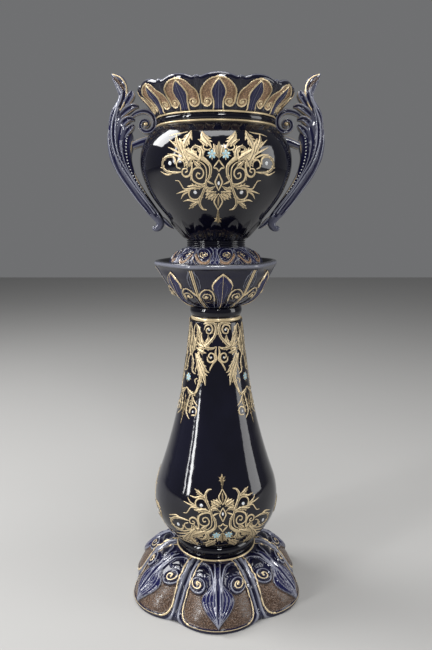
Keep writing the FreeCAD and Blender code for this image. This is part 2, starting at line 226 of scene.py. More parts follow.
def gilding(look):
    """Burnished liquid gold, slightly matt, thin in places."""
    finish = Finish("gilding")
    wear = finish.noise(420.0, 4.0, 0.7)
    broad = finish.noise(30.0, 2.0)
    colour = finish.mix(wear.between(0.3, 0.62), scaled(look.gilding, 0.55), look.gilding)
    return finish.shade(
        colour=colour, metal=0.4, roughness=0.22 + broad * 0.2 + (1 - wear) * 0.12,
        normal=finish.relief(wear, 0.0004, 0.5))


def enamel(name, colour):
    """Opaque raised enamel."""
    finish = Finish(name)
    cloud = finish.noise(300.0, 3.0)
    return finish.shade(
        colour=finish.mix(cloud.between(0.3, 0.7), scaled(colour, 0.72), colour),
        roughness=0.2 + cloud * 0.15, coat=0.6, coat_roughness=0.08,
        normal=finish.relief(cloud, 0.0004, 0.4))


FINISHES = {}


def finish_named(name):
    """Each finish is made once and then shared."""
    look = bpy.context.scene.jardiniere_look
    makers = {"dark_glaze": dark_glaze, "relief_glaze": relief_glaze, "gilding": gilding}
    if name not in FINISHES:
        FINISHES[name] = (makers[name](look) if name in makers
                          else enamel(name, getattr(look, name)))
    return FINISHES[name]


# ====================================================================== lines and outlines
def smooth_line(points, pitch):
    """A smooth line through points, sampled about every pitch; as rows of x, y."""
    points = np.asarray(points, float)
    if len(points) < 3:
        count = max(int(np.linalg.norm(points[-1] - points[0]) / pitch), 1)
        share = np.linspace(0, 1, count + 1)[:, None]
        return points[0] * (1 - share) + points[-1] * share
    padded = np.vstack([2 * points[0] - points[1], points, 2 * points[-1] - points[-2]])
    rows = []
    for index in range(1, len(padded) - 2):
        before, start, end, after = padded[index - 1:index + 3]
        count = max(int(np.linalg.norm(end - start) / pitch), 1)
        for step in range(count):
            share = step / count
            rows.append(0.5 * (2 * start + (end - before) * share
                               + (2 * before - 5 * start + 4 * end - after) * share ** 2
                               + (3 * start - before - 3 * end + after) * share ** 3))
    rows.append(points[-1])
    return np.array(rows)


def reaches(line):
    """How far along a line each of its points lies."""
    return np.concatenate([[0], np.cumsum(np.linalg.norm(np.diff(line, axis=0), axis=1))])


def arc_radius(sag, rise):
    """Radius of an arc that starts upright and draws in by sag over a rise."""
    return (sag ** 2 + rise ** 2) / (2 * sag)


def spiral_line(centre, radius, turns, start, hand, inner=0.12):
    """A scroll's line from its outer end in to its eye; start in degrees."""
    share = np.linspace(0, 1, int(28 * turns))
    angle = math.radians(start) + hand * FULL_TURN * turns * share
    reach = radius * ((1 - share) ** 0.85 * (1 - inner) + inner)
    return np.column_stack([centre[0] + reach * np.cos(angle),
                            centre[1] + reach * np.sin(angle)])


def bead(radius, bottom, top, bulge, count=7):
    """Half-round moulding between two heights."""
    angle = np.linspace(0, math.pi, count)
    return [(radius + bulge * math.sin(a), bottom + (top - bottom) * (1 - math.cos(a)) / 2)
            for a in angle]


def soft_least(first, second, blend):
    """The lesser of two distances, with the corner between them rounded."""
    share = np.clip(0.5 + 0.5 * (second - first) / blend, 0, 1)
    return second * (1 - share) + first * share - blend * share * (1 - share)


def soft_step(values, start, end):
    """0 at start, 1 at end and beyond, and a smooth step from one to the other."""
    share = np.clip((values - start) / (end - start), 0, 1)
    return share * share * (3 - 2 * share)


class Relief:
    """Relief drawn over a surface: x to the side, y along it, both in millimetres."""

    def __init__(self, across, along):
        self.x = across
        self.y = along
        self.lift = np.zeros_like(along)
        self.ridges = np.zeros_like(along)
        self.masks = {name: np.zeros_like(along)
                      for name in ("gilt", "crest", "ground", "cobalt", "pearl")}

    def distance(self, line):
        """Distance from every point to a line."""
        least = np.full_like(self.x, FAR)
        for start, end in zip(line[:-1], line[1:]):
            way = end - start
            length = max(float(way @ way), 1e-9)
            share = np.clip(((self.x - start[0]) * way[0] + (self.y - start[1]) * way[1])
                            / length, 0, 1)
            gap = (self.x - start[0] - way[0] * share) ** 2 + \
                  (self.y - start[1] - way[1] * share) ** 2
            least = np.minimum(least, gap)
        return np.sqrt(least)

    def distance_to_spots(self, spots):
        """Distance from every point to the nearest of several spots."""
        least = np.full_like(self.x, FAR)
        for spot in spots:
            least = np.minimum(least, (self.x - spot[0]) ** 2 + (self.y - spot[1]) ** 2)
        return np.sqrt(least)

    def from_spot(self, spot):
        """Distance from every point to one spot."""
        return np.hypot(self.x - spot[0], self.y - spot[1])

    def ridge_at(self, gap, half_width, lift, gilt=0.0, crest=0.0):
        """A rounded ridge where gap, a distance, is zero; ridges that meet don't add up."""
        share = np.clip(1 - (gap / half_width) ** 2, 0, 1)
        self.ridges = np.maximum(self.ridges, lift * np.sqrt(share))
        self.paint("gilt", gilt * soft_step(share, 0.15, 0.6))
        # Crest paint on the ridge top: thin glaze, and painted highlight.
        self.paint("crest", crest * soft_step(share, 0.35, 1.0))

    def ridge(self, line, half_width, lift, gilt=0.0, crest=0.0):
        """A rounded ridge along a line."""
        self.ridge_at(self.distance(line), half_width, lift, gilt, crest)

    def rib(self, points, half_width, lift, gilt=0.0, crest=0.0, pitch=3):
        """A rounded ridge along a smooth line through points."""
        self.ridge(smooth_line(points, pitch), half_width, lift, gilt, crest)

    def depth_inside(self, outline):
        """Distance inside a closed outline, negative outside."""
        closed = np.vstack([outline, outline[:1]])
        gap = self.distance(closed)
        odd = np.zeros(self.x.shape, bool)
        for start, end in zip(closed[:-1], closed[1:]):
            if start[1] == end[1]:
                continue
            crosses = (start[1] > self.y) != (end[1] > self.y)
            place = start[0] + (self.y - start[1]) / (end[1] - start[1]) * (end[0] - start[0])
            odd ^= crosses & (self.x < place)
        return np.where(odd, gap, -gap)

    def half_leaf(self, edge):
        """Depth inside a leaf whose edge is given from tip to stalk for one half."""
        edge = smooth_line(edge, 2.0)
        mirrored = edge[::-1] * (-1, 1)
        return self.depth_inside(np.vstack([edge, mirrored]))

    def swell(self, depth, lift, shoulder):
        """Raise a rounded cushion where depth is above zero."""
        self.lift = self.lift + lift * np.sqrt(1 - (1 - np.clip(depth / shoulder, 0, 1)) ** 2)

    def paint(self, name, amount):
        """Raise a mask to an amount where it is lower."""
        self.masks[name] = np.maximum(self.masks[name], amount)


class Petal(Relief):
    """Relief over one petal of a turned skin; outwards and upwards move its points as well."""

    def __init__(self, angle, half_angle, radius, height, along):
        super().__init__(angle * radius, along)
        self.angle = angle
        self.radius = radius
        self.height = height
        half = half_angle * radius
        self.side = half - self.x
        self.share = np.clip(self.x / np.maximum(half, 1), 0, 1)
        self.outwards = np.zeros_like(radius)
        self.upwards = np.zeros_like(radius)


# ====================================================================== turned skins
# What the points of a turned skin remember: their place on its outline, its facing.
OUTLINE_VALUES = ("reach", "out", "up")
OUTER_SKIN = -0.2    # facing outwards from here on counts as the outside
# Points of one petal are the same kind when they agree to these shares of a unit.
ANGLE_GRAIN, REACH_GRAIN, KIND_STRIDE = 1e4, 50, 1e5


def turned_mesh(name, outline, parts, steps, turn=0.0):
    """Spin a closed outline of (radius, height) in millimetres round the Z axis.

    One of several parts is spun in steps and then repeated. Points remember how far along
    the outline they lie and which way its skin faces. The first row of points lies turn
    degrees from the front.
    """
    across = math.sin(math.radians(turn)) * MM
    ahead = -math.cos(math.radians(turn)) * MM
    outline = np.asarray(outline, float)
    count = len(outline)
    following = np.roll(outline, -1, axis=0)
    before = np.roll(outline, 1, axis=0)
    reach = reaches(outline)
    way = following - before
    facing = np.column_stack([way[:, 1], -way[:, 0]])
    facing /= np.maximum(np.linalg.norm(facing, axis=1), 1e-9)[:, None]
    bm = bmesh.new()
    layers = [bm.verts.layers.float.new(layer) for layer in OUTLINE_VALUES]
    verts = []
    for index in range(count):
        radius, height = outline[index]
        vert = bm.verts.new((radius * across, radius * ahead, height * MM))
        for layer, value in zip(layers, (reach[index], facing[index, 0], facing[index, 1])):
            vert[layer] = value
        verts.append(vert)
    edges = [bm.edges.new((verts[index], verts[(index + 1) % count]))
             for index in range(count)]
    round_axis = {"cent": (0, 0, 0), "axis": (0, 0, 1), "dvec": (0, 0, 0)}
    bmesh.ops.spin(bm, geom=verts + edges, angle=FULL_TURN / parts, steps=steps, **round_axis)
    bmesh.ops.spin(bm, geom=bm.verts[:] + bm.edges[:] + bm.faces[:], use_duplicate=True,
                   angle=FULL_TURN * (parts - 1) / parts, steps=parts - 1, **round_axis)
    bmesh.ops.remove_doubles(bm, verts=bm.verts, dist=WELD)
    bmesh.ops.recalc_face_normals(bm, faces=bm.faces)
    mesh = bpy.data.meshes.new(name)
    bm.to_mesh(mesh)
    bm.free()
    return mesh


def read_points(mesh, names=()):
    """Positions in millimetres, and the named values of every point, taken off the mesh."""
    count = len(mesh.vertices)
    flat = np.empty(count * 3)
    mesh.vertices.foreach_get("co", flat)
    stored = []
    for name in names:
        values = np.empty(count)
        mesh.attributes[name].data.foreach_get("value", values)
        mesh.attributes.remove(mesh.attributes[name])
        stored.append(values)
    return flat.reshape(-1, 3) / MM, stored


def write_points(mesh, points, masks):
    """Move the points and keep the paint masks on the mesh."""
    mesh.vertices.foreach_set("co", (points * MM).ravel())
    for name, values in masks.items():
        attribute = mesh.attributes.new(name, "FLOAT", "POINT")
        attribute.data.foreach_set("value", np.clip(values, 0, 1).astype(np.float32))
    mesh.update()


def repeat_angle(points, count, turn):
    """Angle of every point from the middle of its own petal, in radians; front is zero."""
    pitch = FULL_TURN / count
    angle = np.arctan2(points[:, 0], -points[:, 1]) - math.radians(turn)
    return (angle + pitch / 2) % pitch - pitch / 2


def carve(mesh, count, turn, zone, draw, down_from=None, bands=(), painted_highlight_bands=()):
    """Draw the same relief over each petal of a turned mesh.

    zone is the stretch (start, end) of the outline that the relief covers; draw fills a
    Petal, whose y counts from the start of the zone, or down from down_from. The halves of
    a petal are alike, and so are all petals, so each kind of point is worked out once.
    bands are heights (bottom, top) between which the outside is gilt all round; the last
    argument gives heights round which a band of painted highlight runs, brightest mid-height.
    """
    points, (reach, out, up) = read_points(mesh, OUTLINE_VALUES)
    angle = np.abs(repeat_angle(points, count, turn))
    kinds = np.round(angle * ANGLE_GRAIN) * KIND_STRIDE + np.round(reach * REACH_GRAIN)
    _, chosen, place = np.unique(kinds, return_index=True, return_inverse=True)
    radius = np.hypot(points[chosen, 0], points[chosen, 1])
    along = reach[chosen]
    petal = Petal(angle[chosen], math.pi / count, radius, points[chosen, 2], along - zone[0])
    if down_from is not None:
        petal.y = down_from - petal.y
    draw(petal)
    within = soft_step(along, zone[0] - 4, zone[0] + 1) * \
        (1 - soft_step(along, zone[1] - 1, zone[1] + 4))
    lift = (petal.lift + petal.ridges) * within
    scale = (radius + petal.outwards + out[chosen] * lift) / np.maximum(radius, 1e-6)
    raised = petal.upwards + up[chosen] * lift
    moved = np.column_stack([points[:, 0] * scale[place], points[:, 1] * scale[place],
                             points[:, 2] + raised[place]])
    masks = {name: (values * within)[place] for name, values in petal.masks.items()}
    outside = out > OUTER_SKIN
    for bottom, top in bands:
        inside = (points[:, 2] > bottom) & (points[:, 2] < top) & outside
        masks["gilt"][inside] = 1.0
        masks["crest"][inside] = 0.0
    # A band of painted highlight, brightest at its middle height, laid in the crest paint round
    # the outside.
    for bottom, top in painted_highlight_bands:
        middle, half_height = (bottom + top) / 2, (top - bottom) / 2
        edge = np.clip(1 - (np.abs(points[:, 2] - middle) / half_height) ** 2, 0, 1)
        masks["crest"] = np.maximum(masks["crest"], 0.8 * edge * outside)
    write_points(mesh, moved, masks)


def finish_piece(mesh, body, materials, nodes=()):
    """Make a mesh a smooth-shaded piece that rides on a body."""
    piece = bpy.data.objects.new(mesh.name, mesh)
    bpy.context.scene.collection.objects.link(piece)
    for material in materials:
        mesh.materials.append(finish_named(material))
    mesh.polygons.foreach_set("use_smooth", [True] * len(mesh.polygons))
    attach(piece, body)
    if nodes:
        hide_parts(*nodes)
    return piece


# ====================================================================== pedestal
BASE_PETALS = 6
CUP_SIDES = 6
FOOT_PETALS = 6
BOWL_LEAVES = 16
CROWN_LOBES = 12
# Degrees from the front to the middle of a petal, a leaf group or a lobe.
BASE_TURN = 1.5
CUP_TURN = 7.0
COLUMN_TURN = 6.0
PENDANT_TURN = 3.0
FOOT_TURN = -1.5
CROWN_TURN = 2.0
BASE_RADIUS = 180.0
CUP_FLAT, CUP_RADIUS = 110.0, 118.0    # axis to a side of the cup, and to its corner
COLUMN_BOTTOM, COLUMN_TOP, COLUMN_WALL = 119, 567, 8
BELLY_RADIUS, BELLY_LEVEL, SHOULDER_LEVEL = 126, 201, 248
# Heights (bottom, top) of the gilt mouldings, in millimetres.
BASE_GOLD = [(88.6, 92.2)]
CUP_GOLD = [(568.5, 575.0)]
# Heights (bottom, top) of the cup's lip, round which a band of painted highlight is laid.
CUP_LIP_HIGHLIGHT = [(673.0, 686.0)]
BOWL_GOLD = [(930.2, 933.4), (944.8, 948.8)]


def base_plan(angle):
    """Radius of the base's outline at an angle from a petal's middle: lobes and fans."""
    lobe_centre, lobe = 88.0, 92.0
    fan_centre, fan = 149.0, 17.0
    petal = lobe_centre * np.cos(angle) + np.sqrt(lobe ** 2 - (lobe_centre * np.sin(angle)) ** 2)
    from_fan = np.abs(angle) - math.pi / BASE_PETALS
    room = np.clip(fan ** 2 - (fan_centre * np.sin(from_fan)) ** 2, 0, None)
    fans = np.where(room > 0, fan_centre * np.cos(from_fan) + np.sqrt(room), 0)
    return np.maximum(petal, fans)


def draw_base_petal(relief):
    """Long leaf between two scrolls, with hoods over them and a rolled rim."""
    x, y, side = relief.x, relief.y, relief.side
    spread = soft_step(relief.radius, 112, 176)
    relief.outwards = relief.radius * (base_plan(relief.angle) / BASE_RADIUS - 1) * spread
    border = soft_least(side - 1, y, 26)
    relief.lift += 8 * (1 - relief.share ** 2.4) * soft_step(y, 4, 40) * \
        (1 - soft_step(y, 118, 142))
    relief.lift -= 3.5 * (1 - soft_step(side, 0, 7)) * soft_step(y, 16, 34)
    relief.masks["cobalt"] += 0.4
    relief.ridge_at(border - 4.5, 4.0, 3.0, crest=0.9)
    relief.ridge_at(border - 12.0, 1.7, 2.2, gilt=0.8, crest=1.0)
    relief.ridge_at(side - 8.5, 2.2, 1.6, crest=0.7)
    relief.ridge_at(side - 2.2, 1.7, 2.2 * soft_step(y, 24, 40), crest=0.6)
    leaf_edge = [(0, 16), (9, 26), (19, 37), (27, 49), (30, 60), (26.5, 70), (18, 79),
                 (11, 87), (7, 97), (5.5, 112), (5, 128)]
    leaf = relief.half_leaf(leaf_edge)
    scroll_centre = (38.5, 88.0)
    to_scroll = relief.from_spot(scroll_centre)
    ground = soft_step(border, 13.4, 15) * (1 - soft_step(leaf, -2.0, 0)) * \
        (1 - soft_step(y, 74, 84)) * soft_step(to_scroll, 18, 20)
    relief.paint("ground", ground * 0.66)
    relief.lift -= 2.2 * ground
    relief.swell(leaf, 4.2, 12)
    relief.paint("cobalt", soft_step(leaf, 0, 1.5))
    relief.ridge_at(np.abs(leaf), 1.6, 1.6, crest=1.0)
    for share_in in (0.27, 0.5, 0.72):
        rib = [(px * (1 - share_in), py + share_in * 4) for px, py in leaf_edge[:9]]
        relief.rib(rib, 1.6, 2.0, crest=1.0)
    relief.rib([(0.6, 17), (3.0, 30), (4.0, 60), (4.2, 100), (5.0, 134)], 2.2, 3.0, crest=1.0)
    relief.lift -= 2.6 * (1 - soft_step(x, 0.5, 2.4)) * soft_step(y, 26, 40)
    loop = smooth_line([(7, 74), (8, 92), (10, 110), (16, 126), (27, 134), (39, 129),
                        (48.5, 116), (53.8, 102)], 3)
    scroll = spiral_line(scroll_centre, 18.5, 2.0, 40, -1)
    relief.swell(17 - to_scroll, 3.4, 16)
    relief.ridge(np.vstack([loop, scroll]), 2.6, 3.6, crest=1.0)
    relief.ridge(scroll[len(scroll) // 2:], 1.4, 3.6, gilt=1.0)
    relief.ridge_at(to_scroll, 3.0, 2.0, gilt=1.0)
    hood = relief.depth_inside(np.array([(13, 108), (17, 121), (27, 129), (37, 124),
                                         (45, 112), (40, 108), (30, 107), (20, 104)]))
    relief.swell(hood, 3.6, 9)
    relief.ridge_at(np.abs(hood), 1.2, 1.2, crest=1.0)
    relief.masks["cobalt"] *= 1 - 0.7 * soft_step(hood, 1, 4)
    relief.lift += 1.4 * np.cos(np.clip((side - 14) / 3, -3, 3)) * \
        (1 - soft_step(y, 20, 34)) * (1 - soft_step(side, 10, 15))
    relief.lift *= soft_step(y, 0, 8)
    relief.ridges *= soft_step(y, 0, 5)


def make_base():
    dome = smooth_line([(179.5, 11), (176, 16.5), (170, 23), (160, 34), (150, 44), (140, 53),
                        (130, 61), (120, 68), (110, 74.5), (100, 80.5), (90, 85.5),
                        (83, 88)], 1.5)
    rim = smooth_line([(173, 0), (177, 0.6), (179.6, 3), (180, 7), (179.5, 11)], 1.4)
    ring = bead(80.0, 88.0, 92.5, 2.2)
    ledge = smooth_line([(79, 93), (75, 94.5), (74.3, 96.5)], 1.2)
    roll = bead(74.3, 96.5, 116.5, 6.4, 19)
    collar = [(74.6, 117.6), (75.0, 119.0), (67.0, 119.0), (67.0, 84.0)]
    inside = smooth_line([(67, 84), (90, 77), (110, 66), (130, 52), (148, 36), (158, 20),
                          (164, 0)], 6)[1:]
    outline = np.vstack([rim[:-1], dome[:-1], ring, ledge, roll[1:], collar, inside])
    mesh = turned_mesh("petalled_base", outline, BASE_PETALS, 100, BASE_TURN)
    zone_end = reaches(outline)[len(rim) + len(dome) - 2]
    carve(mesh, BASE_PETALS, BASE_TURN, (0, zone_end), draw_base_petal, bands=BASE_GOLD)
    return finish_piece(mesh, "stand", ["relief_glaze"], ["stand_base"])


def column_radius(height):
    """Outside of the column at a height, in millimetres: belly and hollow taper."""
    belly_low = arc_radius(45, 82)
    belly_high = arc_radius(8, 47)
    taper = 1213.0
    start, end = Vector((118.0, SHOULDER_LEVEL)), Vector((52.0, COLUMN_TOP))
    chord = end - start
    centre = (start + end) / 2 + Vector((-chord.y, chord.x)).normalized() * \
        -math.sqrt(taper ** 2 - (chord.length / 2) ** 2)
    from_belly = height - BELLY_LEVEL
    if height < SHOULDER_LEVEL:
        bend = belly_low if from_belly < 0 else belly_high
        return BELLY_RADIUS - bend + math.sqrt(bend ** 2 - from_belly ** 2)
    return centre.x - math.sqrt(taper ** 2 - (height - centre.y) ** 2)


def make_column():
    heights = np.concatenate([np.arange(COLUMN_BOTTOM, 260, 3.0), np.arange(260, 566, 6.0),
                              [COLUMN_TOP - 1, COLUMN_TOP]])
    outside = [(column_radius(level), level) for level in heights]
    inside = [(column_radius(level) - COLUMN_WALL, level)
              for level in (COLUMN_TOP, 500, 400, 300, SHOULDER_LEVEL, 220, BELLY_LEVEL, 180,
                            150, COLUMN_BOTTOM)]
    mesh = turned_mesh("pear_column", outside + inside, 12, 16)
    points, _ = read_points(mesh, OUTLINE_VALUES)
    write_points(mesh, points, {})
    return finish_piece(mesh, "stand", ["dark_glaze"], ["stand_column"])


def draw_cup_petal(relief):
    """Pointed leaf between two arched scrolls, under a plain upright lip."""
    y, side = relief.y, relief.side
    half_side = 0.5236
    flat = CUP_FLAT / np.cos(np.clip(relief.angle, -half_side, half_side))
    squareness = soft_step(relief.radius, 70, 112)
    relief.outwards = relief.radius * squareness * \
        (soft_least(flat, CUP_RADIUS, 9.0) / CUP_RADIUS - 1)
    relief.masks["cobalt"] += 0.22
    relief.lift += 3.5 * (1 - relief.share ** 2) * soft_step(y, 4, 20) * \
        (1 - soft_step(y, 80, 104))
    relief.ridge_at(side - 1.8, 1.3, 2.2, gilt=0.85)
    relief.ridge_at(side - 6.2, 1.1, 1.8, crest=1.0)
    relief.rib([(56, 3), (47, 13), (42, 26), (40, 40)], 1.2, 1.6, crest=1.0)
    leaf_edge = [(0, 7), (7, 12), (14, 20), (18.5, 30), (17, 40), (11, 52), (7, 66), (4.5, 84),
                 (3, 100)]
    leaf = relief.half_leaf(leaf_edge)
    relief.swell(leaf, 4.0, 10)
    relief.paint("cobalt", soft_step(leaf, 0, 2))
    relief.rib(leaf_edge, 1.2, 2.0, crest=0.9, pitch=2)
    relief.rib(leaf_edge[:5], 1.5, 2.2, gilt=0.95, pitch=2)
    relief.rib([(0, 8), (0, 50), (0, 100)], 1.0, 2.0, gilt=0.7, pitch=4)
    relief.rib([(3.5, 20), (9, 32), (6, 48), (3, 70)], 0.9, 1.2, crest=0.8)
    eye = (27.5, 56.0)
    to_eye = relief.from_spot(eye)
    relief.swell(13 - to_eye, 3.5, 12)
    arch = smooth_line([(9, 101), (11, 84), (12, 68), (14, 54), (19, 44.5), (27.5, 40.5),
                        (36, 45), (40.5, 56), (38.5, 72), (32, 86), (22, 101)], 3)
    relief.ridge(arch, 1.4, 2.6, crest=0.9)
    relief.ridge(arch[len(arch) // 4:3 * len(arch) // 4], 1.5, 2.8, gilt=0.95)
    relief.ridge(spiral_line(eye, 9.6, 1.3, 140, 1), 1.3, 2.0, gilt=0.8, crest=0.8)
    relief.ridge_at(to_eye, 3.6, 2.8, gilt=1.0)


def make_cup():
    ring = bead(47.0, 567.5, 575.5, 2.0)
    collar = bead(46.8, 577.5, 596.0, 4.2, 15)
    side = smooth_line([(47.0, 597.5), (49.5, 600), (60, 606.5), (75, 617.5), (88, 631),
                        (98, 645.5), (107, 659), (113.5, 669), (117.5, 674)], 1.5)
    lip = smooth_line([(117.5, 674), (119.6, 676.4), (120.0, 680), (118.4, 683.4),
                       (115.5, 684.4), (112, 683), (108.5, 679)], 1.2)
    inside = [(103, 673.5), (99.5, 668), (98.5, 661), (90, 661), (28, 661), (28, 653),
              (86, 653), (38.5, 600), (38.5, 567)]
    outline = np.vstack([ring, collar, side[:-1], lip, inside])
    lengths = reaches(outline)
    start = lengths[len(ring) + len(collar)]
    end = lengths[len(ring) + len(collar) + len(side) - 2]
    mesh = turned_mesh("six_sided_cup", outline, CUP_SIDES, 96, CUP_TURN)
    carve(mesh, CUP_SIDES, CUP_TURN, (start, end), draw_cup_petal, end - start,
          CUP_GOLD, CUP_LIP_HIGHLIGHT)
    return finish_piece(mesh, "stand", ["relief_glaze"], ["stand_cup"])


# ====================================================================== pot
def draw_foot_petal(relief):
    """Blue leaf between two high scrolls, each with rounded shells below it."""
    x, y, side = relief.x, relief.y, relief.side
    relief.masks["cobalt"] += 0.5
    relief.lift += 3.0 * (1 - relief.share ** 2.2) * soft_step(y, 2, 16)
    relief.ridge_at(side - 1.0, 1.4, 1.8, crest=1.0)
    leaf = relief.half_leaf([(0, 60), (4, 54), (7.5, 44), (8.5, 33), (6, 22), (4, 12),
                             (3, 4)])
    relief.swell(leaf, 2.8, 8)
    relief.paint("cobalt", soft_step(leaf, 0, 1.5))
    relief.ridge_at(np.abs(leaf), 1.2, 1.1, crest=1.0)
    relief.rib([(0, 8), (0, 56)], 1.0, 1.4, crest=1.0, pitch=4)
    centre = (21.5, 20.0)
    to_scroll = relief.from_spot(centre)
    below = soft_step(y, 12, 24)
    shell = np.hypot(x - centre[0], (y - centre[1]) * 0.72)
    ground = soft_step(shell, 13.4, 14.6) * (1 - soft_step(shell, 17.6, 18.6)) * below
    relief.paint("ground", ground * soft_step(side, 2.6, 3.6) *
                 (1 - soft_step(leaf, -1.6, -0.6)))
    relief.swell(19 - shell, 2.0, 18)
    for reach, strength in ((12.6, 1.0), (18.8, 1.0), (24.6, 0.9)):
        relief.ridge_at(shell - reach, 1.5, 2.0 * below * (leaf < 0), crest=strength)
        relief.paint("gilt", 0.62 * below * (leaf < 0) *
                     np.exp(-((shell - reach) / 0.8) ** 2))
    relief.ridge(spiral_line(centre, 9.2, 1.6, 80, -1), 1.6, 2.4, crest=1.0, gilt=0.75)
    relief.ridge_at(to_scroll, 3.4, 2.4, gilt=1.0)


def make_foot():
    rings = np.vstack([bead(55.0, bottom, top, 1.8) for bottom, top in
                       ((711.6, 714.8), (715.6, 718.8), (719.6, 722.8))])
    dome = smooth_line([(57.0, 711), (65, 708.6), (72, 705), (80, 699.2), (86.5, 691.5),
                        (91.5, 682), (94.5, 672), (95, 664)], 1.4)
    edge = [(94.6, 661.8), (93.5, 661), (88, 661), (88, 665)]
    inside = smooth_line([(88, 665), (84, 680), (76, 692), (62, 702), (49, 706)], 6)[1:]
    outline = np.vstack([dome, edge, inside, [(49, 723), (55, 723)], rings[::-1]])
    mesh = turned_mesh("domed_foot", outline, FOOT_PETALS, 88, FOOT_TURN)
    carve(mesh, FOOT_PETALS, FOOT_TURN, (0, reaches(dome)[-1]), draw_foot_petal)
    return finish_piece(mesh, "pot", ["relief_glaze"], ["pot_foot"])


BOWL_SIDE = smooth_line([
    (57, 723), (61, 728), (76.6, 745.5), (97, 771), (108, 784.5), (118, 798), (127.5, 813.6),
    (136.0, 833), (141.6, 850), (143.5, 866), (142.6, 880), (139.4, 893), (133.2, 906),
    (125.2, 917), (117.6, 925), (112, 929.5)], 2.4)


def draw_bowl_leaves(relief):
    """Low band of leaves round the bottom of the bowl."""
    leaf = relief.half_leaf([(0, 44), (5, 38), (9, 28), (9.5, 16), (8, 4), (7, 0)])
    relief.swell(leaf, 1.6, 6)
    relief.ridge_at(np.abs(leaf), 1.0, 0.9, crest=0.15, gilt=0.28)
    relief.rib([(0, 4), (0, 38)], 0.9, 0.8, gilt=0.3, pitch=4)


def make_bowl():
    neck = np.vstack([bead(110.6, 930.0, 933.6, 2.0), bead(109.2, 934.4, 943.6, 2.2, 9),
                      bead(109.4, 944.4, 948.6, 2.2)])
    inside = smooth_line([(103, 949), (103, 931), (118, 918), (130, 897), (136.5, 866),
                          (130, 833), (111, 798), (80, 760), (58, 733)], 8)
    outline = np.vstack([BOWL_SIDE, neck, inside, [(0, 733), (0, 723)]])
    mesh = turned_mesh("round_bowl", outline, BOWL_LEAVES, 24)
    carve(mesh, BOWL_LEAVES, 0.0, (4, 52), draw_bowl_leaves, bands=BOWL_GOLD)
    return finish_piece(mesh, "pot", ["relief_glaze"], ["pot_bowl"])


def draw_crown_lobe(relief):
    """Arched panel with a pointed leaf between two scrolls; a small fan at each side."""
    y, side = relief.y, relief.side
    lobe = 72.0
    across = relief.angle * 143.0
    drop = lobe - np.sqrt(lobe ** 2 - across ** 2)
    fan = 5.0 * np.exp(-((37.4 - np.abs(across)) / 5.0) ** 2)
    relief.upwards = -(drop - fan) * soft_step(relief.height, 958, 1000)
    relief.masks["cobalt"] += 0.15
    relief.lift += 2.4 * soft_step(side, 3, 12) * soft_step(y, 0, 8)
    relief.ridge_at(y - 3.4, 3.2, 1.6)
    # A pale line along the rim's top edge: painted highlight, laid in the crest paint.
    relief.paint("crest", 0.75 * (1 - soft_step(y, 0.4, 2.0)))
    relief.ridge_at(side - 0.9, 1.1, 1.9, crest=0.6, gilt=0.35)
    relief.ridge_at(side - 3.4, 1.0, 1.3 * (1 - soft_step(y, 36, 46)), crest=0.6)
    centre = (18.5, 50.0)
    to_scroll = relief.from_spot(centre)
    arch = smooth_line([(0, 6.6), (10, 7.4), (19, 10.2), (26, 16), (29.6, 24.5), (30, 35),
                        (29, 43), (27.7, 50)], 2)
    leaf_edge = [(0, 8.5), (5, 13), (10, 21), (12.3, 29), (11.3, 38), (8.6, 46), (7.6, 54),
                 (8.2, 64)]
    leaf_line = smooth_line(leaf_edge, 2)
    band = relief.depth_inside(np.vstack([arch, [centre],
                                          leaf_line[leaf_line[:, 1] < 47][::-1]]))
    ground = np.maximum(soft_step(band, 0.2, 1.4), soft_step(9 - to_scroll, 0, 1))
    relief.paint("ground", ground)
    relief.lift -= 1.3 * ground
    leaf = relief.half_leaf(leaf_edge)
    relief.swell(leaf, 1.8, 8)
    relief.paint("cobalt", soft_step(leaf, 0, 1.5))
    relief.rib([(0, 10), (0, 64)], 0.9, 1.5, crest=1.0, pitch=4)
    relief.rib([(2.4, 16), (5.5, 29), (4, 46), (4, 64)], 0.8, 0.8, crest=0.75)
    relief.ridge(leaf_line, 1.4, 1.8, gilt=1.0)
    relief.ridge(np.vstack([arch[:-1], spiral_line(centre, 9.2, 1.6, 0, 1)]), 1.6, 2.2,
                 gilt=1.0)
    relief.ridge_at(to_scroll, 3.3, 2.6, gilt=1.0)


def make_crown():
    side = smooth_line([(110, 949), (111, 952), (114, 960), (122, 971), (132, 981.5),
                        (139, 990), (142.2, 997), (143.2, 1001.5)], 1.2)
    edge = smooth_line([(143.2, 1001.5), (142.6, 1003.6), (140, 1004.2), (137.4, 1003),
                        (136, 1000)], 1.0)
    inside = smooth_line([(136, 1000), (132.5, 991), (125, 982), (113, 970), (106, 958),
                          (103, 949)], 2.4)
    outline = np.vstack([side[:-1], edge[:-1], inside])
    length = reaches(side)[-1]
    mesh = turned_mesh("lobed_crown", outline, CROWN_LOBES, 76, CROWN_TURN)
    carve(mesh, CROWN_LOBES, CROWN_TURN, (1, length + 2), draw_crown_lobe, length)
    return finish_piece(mesh, "pot", ["relief_glaze"], ["pot_crown"])


